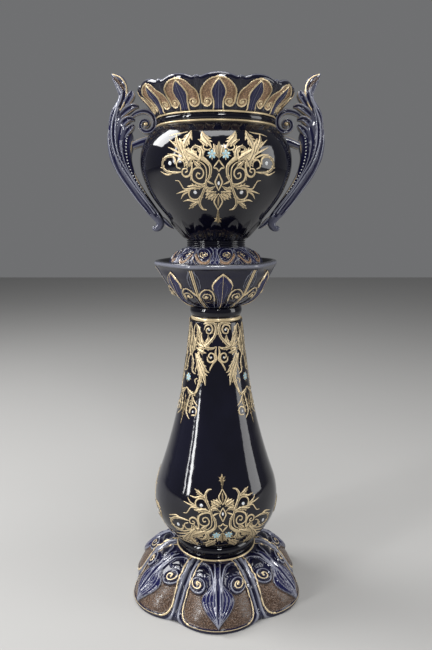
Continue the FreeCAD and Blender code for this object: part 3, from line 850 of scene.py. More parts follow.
# ====================================================================== handles
# Clay strips of the right handle: rows of (out, height, half width, half depth).
HANDLE_STRIPS = {
    "strap": [(193, 1027, 1.2, 3), (185, 1020, 8.4, 7), (178, 1012, 11, 9),
              (174, 1001, 10.4, 10), (172, 990, 8.9, 11), (174, 980, 9.0, 11.5),
              (179, 969, 10.2, 12), (185, 957, 11.4, 13), (186, 944, 14.6, 14),
              (183, 930, 20, 16), (180, 913, 24.6, 17), (180, 897, 24.2, 17),
              (180, 880, 21.5, 16.5), (176, 864, 18.1, 16), (169, 846, 15.7, 15),
              (159, 829, 13.6, 14), (147, 811, 12.3, 13), (134, 793, 11.3, 12),
              (122, 777, 10.6, 10.5), (112, 765, 9.4, 9.5), (107, 756, 8.2, 9),
              (110, 747, 7.0, 8), (117, 744, 5.6, 6.5), (121, 748, 3.4, 4)],
    "leaf_ball": [(181, 949, 3.5, 10), (172, 966, 7, 12.5), (163, 980, 8, 13.5),
                  (158, 989, 8.2, 12), (155.5, 997, 3.4, 7)],
    "leaf_upper": [(187, 940, 3.5, 11), (176, 954, 7, 13.5), (165, 963, 8, 14.5),
                   (154, 969, 6.6, 12), (144, 969, 2.4, 6)],
    "leaf_middle": [(184, 917, 3.5, 14), (179, 931, 7.4, 16.5), (170, 942, 8, 17),
                    (161, 947, 6.6, 14), (152, 945, 2.6, 7)],
    "leaf_lower": [(179, 893, 3.5, 15), (175, 911, 7.4, 18), (166, 924, 8, 17.5),
                   (158, 932, 6, 14), (153, 936, 2.4, 8)],
    "scroll": [(166, 942, 3, 8), (151, 956, 4.4, 11), (133, 960.5, 5.2, 14),
               (120, 955, 5.5, 15.5), (114, 944, 5.6, 16), (116, 931, 5.4, 16),
               (125, 924, 5.0, 16), (135, 925, 4.6, 15.5), (141, 932, 4.2, 15),
               (139, 941, 4.0, 15), (132, 944, 3.8, 15), (126, 940, 3.7, 15.5),
               (128, 934, 3.7, 16), (133, 934, 3.6, 16.5)],
    "scroll_eye": [(126, 936.5, 0.8, 14), (128, 936.5, 3.0, 17.4), (130.5, 936.5, 3.9, 18.4),
                   (133, 936.5, 3.0, 17.4), (135, 936.5, 0.8, 14)],
    "spur": [(114, 912, 7.4, 9), (129, 908, 8.4, 10.5), (142, 904, 8, 11),
             (157, 898, 7.4, 12)],
    "pointed_leaf": [(111, 770, 2, 5), (101, 760, 5.4, 7), (91, 751, 4.6, 6), (82, 744, 1, 2)],
}
# Raised lines over the strap: the line's (out, height) points, half width, height, gilt.
HANDLE_LINES = [
    ([(197, 958), (201.5, 934), (201.5, 910), (197.5, 882), (190, 858), (180, 840),
      (167, 821), (150, 797), (133, 777)], 1.6, 1.4, 0.0),
    ([(177, 985), (186, 960), (193, 937), (194, 910), (188, 882), (178, 860), (165, 840),
      (148, 815), (130, 792), (117, 774)], 2.6, 2.6, 0.0),
    ([(181, 965), (186, 945), (187, 920), (186, 899), (181, 878), (172, 860), (160, 840),
      (147, 820), (131, 799), (116, 780), (107, 767)], 2.2, 2.4, 0.0),
    ([(176, 905), (174, 880), (167, 858), (155, 836), (140, 814), (125, 794), (110, 775)],
     1.5, 2.0, 0.0),
    ([(154, 914), (158, 896), (158.5, 878), (156, 860), (151, 842), (141, 823), (127, 803),
      (114, 786), (104, 773), (99, 763)], 1.7, 2.0, 1.0),
    ([(192, 1026), (181, 1013), (174, 999), (174, 987), (179, 973), (188, 957)],
     2.1, 2.2, 0.0),
    ([(190, 1026), (175, 1019), (166, 1005), (165.5, 990), (168, 978), (177, 962)],
     1.5, 1.4, 0.9),
    ([(194, 1024), (187, 1010), (182, 996), (180, 984), (185, 971), (193, 958)],
     1.5, 1.4, 0.0),
]
# Dark valleys between the raised lines: points, half width, depth.
HANDLE_GROOVES = [
    ([(188, 965), (197.5, 936), (198, 908), (193, 882), (184.5, 858), (173, 838), (158, 816),
      (140, 790), (125, 772)], 1.5, 1.4),
    ([(182, 958), (190.5, 930), (190.5, 905), (185, 880), (175.5, 858), (163, 838),
      (148, 814), (131, 790), (114, 768)], 1.5, 1.6),
    ([(176, 930), (181, 905), (178, 880), (170, 858), (158, 836), (144, 812), (128, 791),
      (112, 772)], 1.6, 1.6),
    ([(160, 930), (166, 911), (168, 895), (167, 877), (163, 860), (156, 843), (146, 827),
      (133, 809), (119, 790), (107, 774)], 4.4, 1.6),
    ([(178, 1012), (170, 1000), (170, 988), (173, 976), (181, 962)], 1.6, 1.2),
]
HORN_HOLLOW = [(186, 1018), (178, 1010), (171, 1000)]
SCROLL_EYE = (130.5, 936.5)
PLAIN_STRIPS = ("strap", "spur", "scroll_eye")
STRIP_PITCH, STRIP_SIDES, STRAP_SIDES, LEAF_DISH = 1.2, 44, 112, 0.3
HANDLE_BEADS = [(160, 926), (166, 911), (168, 895), (167, 877), (163, 860), (156, 843),
                (146, 827), (135, 811)]


def add_strip(bm, rows, sides, hollow):
    """Draw a ring of clay out along a way; hollow is how deep its face is dished."""
    rows = smooth_line(rows, STRIP_PITCH)
    across_layer = bm.verts.layers.float["across"]
    turn = np.arange(sides) * FULL_TURN / sides
    across = np.sign(np.cos(turn)) * np.abs(np.cos(turn)) ** 0.85
    depth = np.sign(np.sin(turn)) * np.abs(np.sin(turn)) ** 0.7
    depth = depth * (1 - hollow * np.exp(-(across / 0.42) ** 2))
    way = np.gradient(rows[:, :2], axis=0)
    way /= np.linalg.norm(way, axis=1)[:, None]
    ring = bmesh.ops.create_circle(bm, segments=sides, radius=1.0)["verts"]
    edges = bm.edges[:]
    first = True
    for (out, height, half_width, half_depth), (step_out, step_up) in zip(rows, way):
        if not first:
            made = bmesh.ops.extrude_edge_only(bm, edges=edges)["geom"]
            fresh = {item for item in made if isinstance(item, bmesh.types.BMVert)}
            ring = [next(edge.other_vert(vert) for edge in vert.link_edges
                         if edge.other_vert(vert) in fresh) for vert in ring]
            edges = [item for item in made if isinstance(item, bmesh.types.BMEdge)
                     and item.verts[0] in fresh and item.verts[1] in fresh]
        else:
            bmesh.ops.holes_fill(bm, edges=edges, sides=sides)
        for vert, share, deep in zip(ring, across, depth):
            offset = share * half_width
            vert.co = ((out - step_up * offset) * MM, deep * half_depth * MM,
                       (height + step_out * offset) * MM)
            vert[across_layer] = share
        first = False
    bmesh.ops.holes_fill(bm, edges=edges, sides=sides)


def handle_mesh(name):
    """The right handle: strips of clay, and the lines and beads drawn on its strap."""
    whole = bmesh.new()
    for layer in ("across", "broad"):
        whole.verts.layers.float.new(layer)
    strip = bpy.data.meshes.new("strip")
    for part, rows in HANDLE_STRIPS.items():
        bm = bmesh.new()
        bm.verts.layers.float.new("across")
        broad = bm.verts.layers.float.new("broad")
        add_strip(bm, rows, STRAP_SIDES if part == "strap" else STRIP_SIDES,
                  0.0 if part in PLAIN_STRIPS else LEAF_DISH)
        for vert in bm.verts:
            vert[broad] = 1.0 if part == "strap" else 0.0
        bmesh.ops.recalc_face_normals(bm, faces=bm.faces)
        bm.to_mesh(strip)
        bm.free()
        whole.from_mesh(strip)
    mesh = bpy.data.meshes.new(name)
    whole.to_mesh(mesh)
    whole.free()
    bpy.data.meshes.remove(strip)
    points, (across, on_strap) = read_points(mesh, ("across", "broad"))
    relief = Relief(points[:, 0], points[:, 2])
    relief.masks["cobalt"] += 0.6
    # Pale crest paint over the whole handle: thin glaze and painted sheen. The grooves take it
    # off their valleys.
    relief.masks["crest"] += 0.6
    facing = np.sqrt(np.clip(1 - across ** 2, 0, 1))
    for line, half_width, depth in HANDLE_GROOVES:
        gap = relief.distance(smooth_line(line, 3))
        groove = np.exp(-(gap / half_width) ** 2)
        relief.lift -= depth * groove
        relief.masks["crest"] *= 1 - 0.95 * groove
    for line, half_width, lift, gilt in HANDLE_LINES:
        relief.rib(line, half_width, lift, gilt, 1.0)
    relief.paint("ground", 0.55 * (1 - soft_step(
        relief.distance(smooth_line(HORN_HOLLOW, 3)), 2.4, 3.4)))
    beads = smooth_line(HANDLE_BEADS, 5.0)
    to_bead = relief.distance_to_spots(beads)
    relief.ridge_at(to_bead, 1.9, 1.6)
    relief.paint("pearl", 0.9 - soft_step(to_bead, 0.9, 1.6))
    relief.lift = (relief.lift + relief.ridges) * on_strap
    for key in ("gilt", "ground", "pearl"):
        relief.masks[key] = relief.masks[key] * on_strap * soft_step(facing, 0.2, 0.5)
    # On the leaves and the scroll the crest paint, thin glaze and painted highlight, covers all
    # but a middle groove.
    rim = np.exp(-((np.abs(across) - 0.8) / 0.2) ** 2)
    groove = np.exp(-(across / 0.26) ** 2)
    relief.masks["crest"] = np.where(on_strap > 0.5, relief.masks["crest"],
                                     np.maximum(rim, 0.8) * (1 - groove))
    relief.paint("gilt", (1 - on_strap) * 0.75 *
                 np.exp(-((np.abs(across) - 0.86) / 0.09) ** 2))
    to_eye = relief.distance_to_spots([SCROLL_EYE])
    relief.paint("gilt", (1 - on_strap) * (1 - soft_step(to_eye, 3.0, 4.5)))
    points[:, 1] += np.sign(points[:, 1]) * relief.lift * np.clip(facing * 1.4, 0, 1)
    write_points(mesh, points, relief.masks)
    return mesh


def make_handles():
    right = handle_mesh("scrolled_handle_right")
    bm = bmesh.new()
    bm.from_mesh(right)
    bmesh.ops.scale(bm, vec=(-1, 1, 1), verts=bm.verts)
    bmesh.ops.reverse_faces(bm, faces=bm.faces)
    left = bpy.data.meshes.new("scrolled_handle_left")
    bm.to_mesh(left)
    bm.free()
    finish_piece(right, "pot", ["relief_glaze"], ["handle_right"])
    finish_piece(left, "pot", ["relief_glaze"], ["handle_left"])


# ====================================================================== painted ornament
# Strokes are rows of (to the side, up, half width) in millimetres from the ornament's
# middle bead; each is drawn once and mirrored.
ARABESQUE = {
    "gilding": [
        # long hook, and the ring beside it
        [(20, -45, 0.6), (27, -43, 1.7), (32, -35, 2), (31, -26, 2.1), (27, -16, 2.1),
         (23, -6, 1.9), (21, 2, 1.7), (16, 10, 1.9), (14, 19, 2.2), (15, 28, 2.6),
         (21, 35, 2.9), (29, 41, 3.8)],
        [(23, 2, 0.7), (21, 11, 1.2), (21, 20, 1.2), (23, 27, 1.2), (29, 33, 1),
         (37, 36, 0.7)],
        [(22, 1, 0.9), (28, -2, 1.7), (37, 0, 2.1), (44, 5, 2.1), (46, 13, 1.9),
         (44, 21, 1.7), (38, 25, 1.7), (32, 25, 1.7), (27, 21, 1.5), (26, 14, 1.5),
         (30, 8, 1.5), (35, 8, 1.4), (38, 12, 1.4), (36, 17, 1.4), (32, 15, 1.5)],
        # acanthus over the ring
        [(44, 32, 1.4), (53, 38, 4.5), (59, 50, 5.5), (62, 62, 4.1), (66, 75, 0.7)],
        [(32, 38, 2.4), (42, 44, 5.2), (52, 50, 4.5), (61, 59, 0.9)],
        [(31, 39, 3.8), (29, 49, 4), (31, 56, 2.8), (38, 60, 2.1), (44, 58, 1.7),
         (43, 52, 1.7), (37, 51, 1.2)],
        [(47, 41, 3.8), (51, 34, 3.4), (54, 24, 0.5)],
        [(43, 37, 1), (37, 31, 2.6), (29, 24, 0.7)],
        [(58, 43, 2.1), (66, 57, 3.4), (71, 71, 2.9), (71, 84, 0.5)],
        [(28, 86, 0.5), (26, 77, 4.5), (19, 68, 3.8), (12, 58, 0.7)],
        [(46, 88, 0.5), (50, 78, 5), (56, 68, 3.8), (60, 55, 1.4)],
        [(35, 72, 0.5), (27, 68, 2.6), (19, 60, 0.9)],
        [(12, 58, 0.7), (18, 54, 1.5), (25, 56, 1.5), (26, 61, 1.4), (22, 63, 1.4),
         (20, 60, 1.2)],
        [(62, 41, 1.5), (74, 47, 2.2), (87, 49, 0.5)],
        [(63, 48, 1.5), (75, 55, 2.2), (86, 61, 0.5)],
        [(66, 56, 1.2), (75, 65, 2.1), (84, 74, 0.5)],
        [(52, 86, 0.7), (62, 84, 1.4), (73, 83, 1.4), (84, 80, 0.5)],
        # small volute with its tail, loop, and the outer volute
        [(45, 33, 1.2), (46, 22, 2.1), (50, 13, 2.2), (57, 11, 2.1), (62, 16, 1.9),
         (61, 23, 1.7), (55, 24, 1.5), (53, 20, 1.5), (57, 18, 1.4)],
        [(46, 18, 1.7), (48, 5, 0.5)],
        [(58, 27, 1), (59, 35, 1.5), (66, 39, 1.7), (71, 34, 1.7), (71, 27, 1.5),
         (65, 24, 1.2)],
        [(64, 19, 0.7), (75, 18, 1.9), (87, 20, 2.2), (95, 27, 2.4), (96, 36, 2.2),
         (90, 44, 2.1), (80, 45, 1.9), (74, 40, 1.7), (74, 32, 1.5)],
        [(77, 18, 0.9), (88, 15, 2.1), (100, 21, 0.5)],
        # spray of leaves round a bead
        [(36, -8, 0.9), (49, -9, 2.1), (59, -9, 1.7), (64, -2, 1.4), (68, 4, 1.2),
         (74, 5, 0.5)],
        [(24, -4, 1), (35, -7, 2.8), (43, -5, 2.8), (54, -5, 0.5)],
        [(48, -12, 1), (59, -13, 2.1), (73, -17, 0.5)],
        [(51, -14, 0.9), (60, -18, 1.9), (65, -26, 0.5)],
        [(49, -10, 0.9), (51, -19, 1.7), (46, -26, 1.9), (37, -27, 1.5), (32, -22, 0.7)],
        [(32, -29, 0.7), (41, -31, 2.2), (51, -28, 2.2), (61, -30, 0.5)],
        [(34, -32, 0.9), (43, -36, 2.4), (51, -43, 0.5)],
        # wings and leaves of the middle stem
        [(8, -2, 0.5), (15, 1, 2.2), (22, 6, 0.9)],
        [(6, -5, 0.5), (15, -10, 2.6), (24, -7, 1.2)],
        [(4, -14, 0.7), (13, -16, 2.6), (22, -13, 1.4)],
        [(4, -18, 1.2), (10, -22, 3.1), (18, -27, 0.5)],
        [(9, -16, 0.9), (16, -19, 2.8), (22, -25, 0.5)],
        [(0, -17, 0.9), (6, -27, 1.5), (7, -32, 1.7), (4, -38, 1.4), (0, -45, 1)],
        [(0, 16, 0.9), (4, 7, 1.5), (6, 2, 1.7), (4, -4, 1.5), (0, -12, 0.9)],
        [(0, 38, 0.9), (4, 32, 1.7), (9, 25, 0.9), (4, 24, 1.7), (0, 19, 0.9)],
        [(2, 42, 0.7), (6, 53, 2.6), (9, 64, 0.5)],
        [(0, -46, 0.7), (0, -52, 1.5), (0, -58, 2.1), (0, -62, 3.6), (0, -65, 2.9),
         (0, -72, 0.3)],
        [(0, -60, 1.4), (6, -60, 0.5)],
        [(0, -22, 0.5), (0, -31, 2.1), (0, -39, 0.5)],
        [(0, 40, 0.9), (0, 54, 4.1), (0, 68, 0.5)],
    ],
    "pearls": [(0, 0, 2.0, 3.4), (40, -15, 3.4, 3.0), (83, 34, 4.0, 3.4)],
    "flowers": [(11.5, 47, 7.6)],
}
# Pendant of the column's top: rows of (degrees from its middle, height, half width).
PENDANT = {
    "gilding": [
        [(30, 565, 0.8), (37, 567, 1.9), (53, 567, 2.3), (57, 557, 2.5), (54, 543, 2.5),
         (47, 534, 2.5), (36, 523, 3), (21, 517, 1.9)],
        [(32, 554, 0.9), (35, 562, 1.9), (45, 564, 2.1), (50, 557, 2.1), (47, 549, 1.9),
         (39, 548, 1.7), (37, 555, 1.7), (43, 558, 2.3)],
        [(26, 548, 0.6), (24, 536, 4.6), (30, 525, 3.4), (41, 517, 0.9)],
        [(41, 545, 0.6), (41, 535, 2.8), (34, 526, 1.1)],
        [(10, 565, 0.6), (18, 555, 4.2), (18, 545, 3), (12, 530, 0.9)],
        [(14, 531, 0.6), (23, 523, 3.4), (36, 520, 2.7), (49, 519, 2.3), (58, 523, 0.6)],
        [(13, 519, 0.8), (26, 512, 3.4), (38, 510, 0.6)],
        [(58, 522, 0.8), (56, 511, 2.1), (58, 499, 2.1), (52, 491, 1.9), (47, 481, 1.7),
         (46, 476, 0.6)],
        [(40, 503, 0.9), (42, 495, 1.9), (49, 493, 2.1), (55, 499, 2.1), (53, 508, 1.9),
         (46, 510, 1.7), (43, 504, 1.7), (48, 500, 1.9)],
        [(20, 510, 1.9), (25, 497, 3), (33, 485, 3), (40, 475, 1.7), (45, 473, 0.6)],
        [(17, 506, 1.9), (26, 488, 3.8), (34, 470, 4.2), (39, 448, 0.6)],
        [(14, 507, 1.5), (22, 485, 3.2), (29, 463, 3.4), (26, 444, 2.7), (20, 429, 0.9)],
        [(2, 507, 1.1), (9, 489, 2.5), (9, 473, 2.1), (18, 467, 0.6)],
        [(0, 500, 0.8), (6, 514, 4.2), (8, 530, 4.4), (0, 549, 0.9)],
        [(2, 515, 0.8), (5, 531, 3.4), (3, 546, 2.7), (8, 563, 0.6)],
        [(20, 483, 0.8), (17, 476, 1.9), (18, 471, 0.6)],
        [(23, 460, 0.8), (18, 455, 1.9), (21, 448, 0.6)],
        [(0, 438, 0.9), (8, 431, 3), (19, 428, 2.1), (26, 438, 0.9)],
        [(11, 429, 1.1), (8, 410, 2.5), (7, 393, 2.3), (16, 380, 0.6)],
        [(16, 426, 1.1), (17, 413, 2.5), (15, 401, 2.1), (14, 391, 0.8)],
        [(18, 423, 0.8), (22, 414, 1.9), (29, 407, 0.6)],
        [(16, 391, 0.9), (16, 399, 1.9), (22, 404, 2.1), (27, 399, 2.1), (26, 390, 1.9),
         (19, 388, 1.5)],
        [(0, 424, 0.9), (0, 402, 2.5), (0, 387, 2.3), (0, 366, 0.6)],
    ],
    "pearls": [(48, 502, 2.0, 1.8), (43, 555, 2.4, 2.2), (21, 395, 2.0, 2.0)],
    "flowers": [(0, 458, 8.0)],
}


GOLD, FLOWER, PEARL, VEIN = range(4)     # places in Painting.finishes
LEAF_WIDTH = 2.3                         # strokes wider than this are leaves
LEAF_FULLNESS, LINE_FULLNESS = 1.12, 0.82
ORNAMENT_PITCH = 1.7
ORNAMENT_PROUD, VEIN_RISE, VEIN_WIDTH = 0.5, 4.4, 0.5
BOWL_ORNAMENT_LEVEL, COLUMN_ORNAMENT_LEVEL = 825, 214
COLUMN_GROUPS = 3


def leaf_lobes(line):
    """Small pointed lobes along both edges of a painted leaf."""
    lobes = []
    for share in (0.28, 0.46, 0.64):
        index = int(share * (len(line) - 1))
        side, up, width = line[index]
        way = line[min(index + 1, len(line) - 1)][:2] - line[max(index - 1, 0)][:2]
        way = way / max(float(np.linalg.norm(way)), 1e-6)
        for hand in (1, -1):
            out = np.array((-way[1], way[0])) * hand
            lobes.append([(side + (way[0] * ahead + out[0] * apart) * width,
                           up + (way[1] * ahead + out[1] * apart) * width, width * thick)
                          for ahead, apart, thick in ((0, 0.3, 0.45), (0.5, 1.0, 0.42),
                                                      (1.3, 1.65, 0.12))])
    return lobes


class Painting:
    """Raised strokes of gold and enamel on a turned surface."""

    finishes = ["gilding", "flower_enamel", "pearl_enamel", "dark_glaze"]

    def __init__(self, name, radius_at, proud):
        self.name = name
        self.radius_at = radius_at
        self.proud = proud
        self.veins = []
        self.curve = bpy.data.curves.new(name, "CURVE")
        self.curve.dimensions = "3D"
        self.curve.bevel_depth = MM
        self.curve.bevel_resolution = 1
        self.curve.use_fill_caps = True
        for finish in self.finishes:
            self.curve.materials.append(finish_named(finish))

    def lay(self, rows, finish):
        """Add a line; rows are (angle in radians, distance out, height, half width)."""
        spline = self.curve.splines.new("POLY")
        spline.material_index = finish
        spline.points.add(len(rows) - 1)
        for point, (angle, reach, height, width) in zip(spline.points, rows):
            point.co = (reach * math.sin(angle) * MM, -reach * math.cos(angle) * MM,
                        height * MM, 1)
            point.radius = width

    def stroke(self, rows, finish=GOLD):
        """One tapering stroke; rows are (angle in radians, height, half width)."""
        self.lay([(angle, float(self.radius_at(height)), height, max(width, 0.2))
                  for angle, height, width in rows], finish)

    def spot(self, angle, height, half_across, half_up, finish):
        """A round or oval bead of enamel."""
        reach = float(self.radius_at(height))
        self.lay([(angle, reach, height - half_up * math.cos(turn),
                   max(half_across * math.sin(turn), 0.05))
                  for turn in np.linspace(0, math.pi, 9)], finish)

    def flower(self, angle, height, radius):
        """Five pale petals round a gold eye, on small gold leaves."""
        reach = float(self.radius_at(height))
        for petal in range(5):
            way = FULL_TURN * petal / 5 + math.pi / 2
            side, up = math.cos(way), math.sin(way)
            rows = [(angle + side * share * radius / reach, height + up * share * radius,
                     width * radius)
                    for share, width in ((0.1, 0.1), (0.35, 0.24), (0.65, 0.33),
                                         (0.9, 0.24), (1.0, 0.05))]
            self.stroke(rows, FLOWER)
            leaf = FULL_TURN * (petal + 0.5) / 5 + math.pi / 2
            self.stroke([(angle + math.cos(leaf) * share * radius / reach,
                          height + math.sin(leaf) * share * radius, width)
                         for share, width in ((0.4, 0.5), (0.9, 0.9), (1.25, 0.3))])
        self.spot(angle, height, 1.7, 1.7, GOLD)

    def motif(self, parts, place):
        """Draw a motif; place turns its (side, up) into (angle, height)."""
        for hand in (1, -1):
            def placed(rows, fullness=1.0, hand=hand):
                return [(*place(hand * side, up), width * fullness)
                        for side, up, width in rows]
            for rows in parts["gilding"]:
                line = smooth_line(rows, ORNAMENT_PITCH)
                is_leaf = max(width for _, _, width in rows) > LEAF_WIDTH
                self.stroke(placed(line, LEAF_FULLNESS if is_leaf else LINE_FULLNESS))
                if is_leaf:
                    for lobe in leaf_lobes(line):
                        self.stroke(placed(lobe))
                    heart = line[int(len(line) * 0.12):int(len(line) * 0.84)]
                    self.veins.append([(*place(hand * side, up), VEIN_WIDTH)
                                       for side, up, _ in heart])
            for side, up, across, tall in parts["pearls"]:
                if side or hand > 0:
                    self.spot(*place(hand * side, up), across, tall, PEARL)
            for side, up, radius in parts["flowers"]:
                if side or hand > 0:
                    self.flower(*place(hand * side, up), radius)

    def finish(self, body):
        """Press the strokes flat against the surface and make them a piece."""
        holder = bpy.data.objects.new(self.name + "_strokes", self.curve)
        mesh = bpy.data.meshes.new_from_object(holder)
        bpy.data.objects.remove(holder)
        bpy.data.curves.remove(self.curve)
        mesh.name = self.name
        points, _ = read_points(mesh)
        radius = np.hypot(points[:, 0], points[:, 1])
        skin = self.radius_at(points[:, 2])
        pressed = skin + self.proud * (0.35 + np.clip((radius - skin) / 2.0, -1.2, 1))
        points[:, :2] *= (pressed / radius)[:, None]
        write_points(mesh, points, {})
        bm = bmesh.new()
        bm.from_mesh(mesh)
        bmesh.ops.recalc_face_normals(bm, faces=bm.faces)
        bm.to_mesh(mesh)
        bm.free()
        finish_piece(mesh, body, [])
        if self.veins:
            shading = Painting(self.name + "_veins", self.radius_at, self.proud * VEIN_RISE)
            for rows in self.veins:
                shading.stroke(rows, VEIN)
            shading.finish(body)


def surface_of(outline):
    """Radius of a turned surface at any height between its ends."""
    outline = np.asarray(outline)
    return lambda height: np.interp(height, outline[:, 1], outline[:, 0])


def wrapped(side, height, radius_at, turn, margin):
    """Where (side, height) lies round a surface, turn degrees from the front."""
    reach = max(float(radius_at(height)), abs(side) + margin)
    return math.radians(turn) + math.asin(side / reach), height


def paint_bowl():
    radius_at = surface_of(BOWL_SIDE)
    painting = Painting("bowl_ornament", radius_at, ORNAMENT_PROUD)
    for turn in (CROWN_TURN, CROWN_TURN + 180):
        painting.motif(ARABESQUE, lambda side, up, turn=turn: wrapped(
            side, BOWL_ORNAMENT_LEVEL + up, radius_at, turn, 1))
    painting.finish("pot")


def paint_column():
    heights = np.arange(COLUMN_BOTTOM, COLUMN_TOP + 0.1, 3.0)
    radius_at = surface_of([(column_radius(min(level, COLUMN_TOP)), level)
                            for level in heights])
    painting = Painting("column_ornament", radius_at, ORNAMENT_PROUD)
    step = 360.0 / COLUMN_GROUPS
    for number in range(COLUMN_GROUPS):
        low, high = COLUMN_TURN + number * step, PENDANT_TURN + (number + 0.5) * step
        painting.motif(ARABESQUE, lambda side, up, turn=low: wrapped(
            side, COLUMN_ORNAMENT_LEVEL - up, radius_at, turn, 8))
        painting.motif(PENDANT, lambda degrees, height, turn=high: (
            math.radians(turn + degrees), height))
    painting.finish("stand")


# ====================================================================== stage
FLOOR_HALF = 6.0
FRAME_HEIGHT, SENSOR = 650.0, 36.0     # pixels, millimetres
LAMPS_AIM = (0, 0, 0.6)
# Lamps: name, place, width, height, watts.
LAMPS = [
    ("window_left", (-2.0, 0.5, 2.6), 1.3, 1.5, 75.0),
    ("ceiling_soft", (0.1, -0.7, 3.3), 1.6, 1.2, 38.0),
    ("panel_right", (2.5, -0.4, 1.1), 1.1, 1.9, 24.0),
    ("tall_window", (-2.5, -1.9, 1.5), 0.3, 2.0, 46.0),
    ("tall_window_far", (-2.75, -1.45, 1.5), 0.12, 2.0, 16.0),
    ("front_high", (0.5, -2.6, 2.3), 0.5, 0.4, 26.0),
]


def make_stage():
    """Pale floor and backdrop, soft lights and the camera."""
    scene = bpy.context.scene
    scene.view_settings.view_transform = "Standard"
    look = scene.jardiniere_look
    bm = bmesh.new()
    bmesh.ops.create_grid(bm, x_segments=1, y_segments=1, size=FLOOR_HALF)
    mesh = bpy.data.meshes.new("floor")
    bm.to_mesh(mesh)
    bm.free()
    floor = bpy.data.objects.new("floor", mesh)
    scene.collection.objects.link(floor)
    finish = Finish("pale_floor")
    cloud = finish.noise(2.0, 3.0)
    finish.shade(colour=finish.mix(cloud, look.floor_colour, scaled(look.floor_colour, 0.97)),
                 roughness=0.7)
    mesh.materials.append(finish.material)
    world = bpy.data.worlds.new("studio")
    scene.world = world
    world.use_nodes = True
    background = world.node_tree.nodes["Background"]
    background.inputs["Color"].default_value = (0.80, 0.81, 0.83, 1)
    background.inputs["Strength"].default_value = 0.2
    target = Vector(LAMPS_AIM)
    for name, place, width, height, power in LAMPS:
        lamp = bpy.data.lights.new(name, "AREA")
        lamp.shape = "RECTANGLE"
        lamp.size = width
        lamp.size_y = height
        lamp.energy = power
        holder = bpy.data.objects.new(name, lamp)
        holder.location = place
        holder.rotation_euler = (target - Vector(place)).to_track_quat("-Z", "Y").to_euler()
        scene.collection.objects.link(holder)
    lens = bpy.data.cameras.new("view")
    lens.sensor_width = SENSOR
    lens.lens = look.focal_pixels * SENSOR / FRAME_HEIGHT
    camera = bpy.data.objects.new("view", lens)
    camera.location = (0, -look.camera_distance, look.camera_height)
    camera.rotation_euler = (math.pi / 2 - look.camera_tilt, 0, 0)
    scene.collection.objects.link(camera)
    scene.camera = camera


# ====================================================================== add-on
def colour_choice(name, description, default):
    return bpy.props.FloatVectorProperty(name=name, description=description,
                                         subtype="COLOR", default=default, min=0, max=1)


class JARDINIERE_look(bpy.types.PropertyGroup):
    """Colours and the camera, open to change in the panel"""
    black_glaze: colour_choice(
        "Dark glaze", "Blue-black glaze of the smooth parts", (0.0028, 0.0028, 0.0075))
    cobalt: colour_choice(
        "Cobalt", "Blue glaze in the relief", (0.009, 0.010, 0.060))
    # Pale colour of the crests: thin glaze, and painted highlight on ridges and rims.
    thin_glaze_and_highlight: colour_choice(
        "Thin glaze and highlight", "Thin glaze on the crests, and painted highlight", (0.27, 0.28, 0.34))
    gilding: colour_choice(
        "Gilding", "Liquid gold", (0.80, 0.64, 0.39))
    ground_gilt: colour_choice(
        "Ground gilt", "Gold of the stippled grounds", (0.58, 0.37, 0.21))
    ground_dark: colour_choice(
        "Ground glaze", "Glaze between the stipples", (0.16, 0.095, 0.065))
    flower_enamel: colour_choice(
        "Flower enamel", "Pale blue petals", (0.42, 0.66, 0.74))
    pearl_enamel: colour_choice(
        "Pearl enamel", "White beads", (0.80, 0.82, 0.84))
    floor_colour: colour_choice(
        "Floor", "Pale floor", (0.44, 0.435, 0.425))
    camera_distance: bpy.props.FloatProperty(
        name="Camera distance", description="Camera to the object's axis",
        unit="LENGTH", default=1.232)
    camera_height: bpy.props.FloatProperty(
        name="Camera height", description="Camera above the floor",
        unit="LENGTH", default=0.783)
    camera_tilt: bpy.props.FloatProperty(
        name="Camera tilt", description="How far the camera looks down",
        subtype="ANGLE", default=math.radians(10.5))
    focal_pixels: bpy.props.FloatProperty(
        name="Focal length in pixels", description="On a frame 650 pixels high",
        default=630.0)


class JARDINIERE_OT_base(bpy.types.Operator):
    """Make the six-petalled base of the pedestal"""
    bl_idname = "jardiniere.base"
    bl_label = "Base"
    bl_options = {"REGISTER", "UNDO"}

    def execute(self, context):
        make_base()
        return {"FINISHED"}


class JARDINIERE_OT_column(bpy.types.Operator):
    """Make the pear-shaped column"""
    bl_idname = "jardiniere.column"
    bl_label = "Column"
    bl_options = {"REGISTER", "UNDO"}

    def execute(self, context):
        make_column()
        return {"FINISHED"}


class JARDINIERE_OT_cup(bpy.types.Operator):
    """Make the six-sided cup that holds the pot"""
    bl_idname = "jardiniere.cup"
    bl_label = "Cup"
    bl_options = {"REGISTER", "UNDO"}

    def execute(self, context):
        make_cup()
        return {"FINISHED"}


class JARDINIERE_OT_foot(bpy.types.Operator):
    """Make the domed foot of the pot"""
    bl_idname = "jardiniere.foot"
    bl_label = "Foot"
    bl_options = {"REGISTER", "UNDO"}

    def execute(self, context):
        make_foot()
        return {"FINISHED"}


class JARDINIERE_OT_bowl(bpy.types.Operator):
    """Make the round bowl of the pot"""
    bl_idname = "jardiniere.bowl"
    bl_label = "Bowl"
    bl_options = {"REGISTER", "UNDO"}

    def execute(self, context):
        make_bowl()
        return {"FINISHED"}


class JARDINIERE_OT_crown(bpy.types.Operator):
    """Make the twelve-lobed crown of the pot"""
    bl_idname = "jardiniere.crown"
    bl_label = "Crown"
    bl_options = {"REGISTER", "UNDO"}

    def execute(self, context):
        make_crown()
        return {"FINISHED"}


class JARDINIERE_OT_handles(bpy.types.Operator):
    """Make the two scrolled handles"""
    bl_idname = "jardiniere.handles"
    bl_label = "Handles"
    bl_options = {"REGISTER", "UNDO"}

    def execute(self, context):
        make_handles()
        return {"FINISHED"}


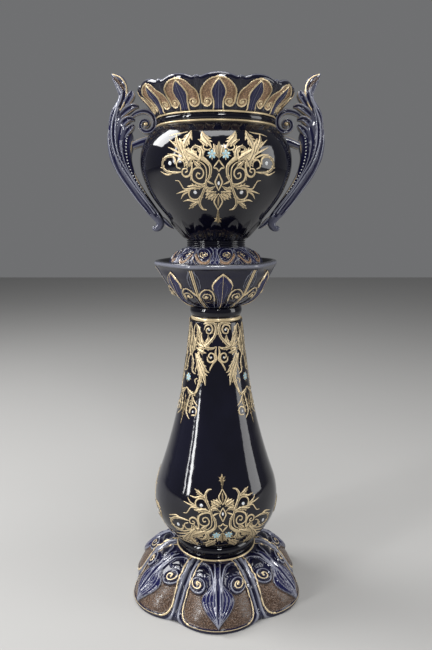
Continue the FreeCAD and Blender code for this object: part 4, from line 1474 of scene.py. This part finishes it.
class JARDINIERE_OT_bowl_ornament(bpy.types.Operator):
    """Paint the gilt arabesques of the bowl"""
    bl_idname = "jardiniere.bowl_ornament"
    bl_label = "Bowl ornament"
    bl_options = {"REGISTER", "UNDO"}

    def execute(self, context):
        paint_bowl()
        return {"FINISHED"}


class JARDINIERE_OT_column_ornament(bpy.types.Operator):
    """Paint the gilt ornament of the column"""
    bl_idname = "jardiniere.column_ornament"
    bl_label = "Column ornament"
    bl_options = {"REGISTER", "UNDO"}

    def execute(self, context):
        paint_column()
        return {"FINISHED"}


class JARDINIERE_OT_stage(bpy.types.Operator):
    """Set up the floor, lights and camera"""
    bl_idname = "jardiniere.stage"
    bl_label = "Stage"
    bl_options = {"REGISTER", "UNDO"}

    def execute(self, context):
        make_stage()
        return {"FINISHED"}


OPERATORS = [
    JARDINIERE_OT_base, JARDINIERE_OT_column, JARDINIERE_OT_cup, JARDINIERE_OT_foot,
    JARDINIERE_OT_bowl, JARDINIERE_OT_crown, JARDINIERE_OT_handles,
    JARDINIERE_OT_bowl_ornament, JARDINIERE_OT_column_ornament, JARDINIERE_OT_stage,
]


class JARDINIERE_PT_panel(bpy.types.Panel):
    """Lists the steps that build the object, and its colours and camera"""
    bl_label = "Jardiniere"
    bl_idname = "JARDINIERE_PT_panel"
    bl_space_type = "VIEW_3D"
    bl_region_type = "UI"
    bl_category = "Jardiniere"

    def draw(self, context):
        look = context.scene.jardiniere_look
        for name in JARDINIERE_look.__annotations__:
            self.layout.prop(look, name)
        for operator in OPERATORS:
            self.layout.operator(operator.bl_idname)


CLASSES = [JARDINIERE_look, *OPERATORS, JARDINIERE_PT_panel]


def register():
    for item in CLASSES:
        bpy.utils.register_class(item)
    bpy.types.Scene.jardiniere_look = bpy.props.PointerProperty(type=JARDINIERE_look)


def unregister():
    del bpy.types.Scene.jardiniere_look
    for item in reversed(CLASSES):
        bpy.utils.unregister_class(item)


def main():
    register()
    for operator in OPERATORS:
        getattr(bpy.ops.jardiniere, operator.bl_idname.split(".")[1])()


if __name__ == "__main__":
    main()
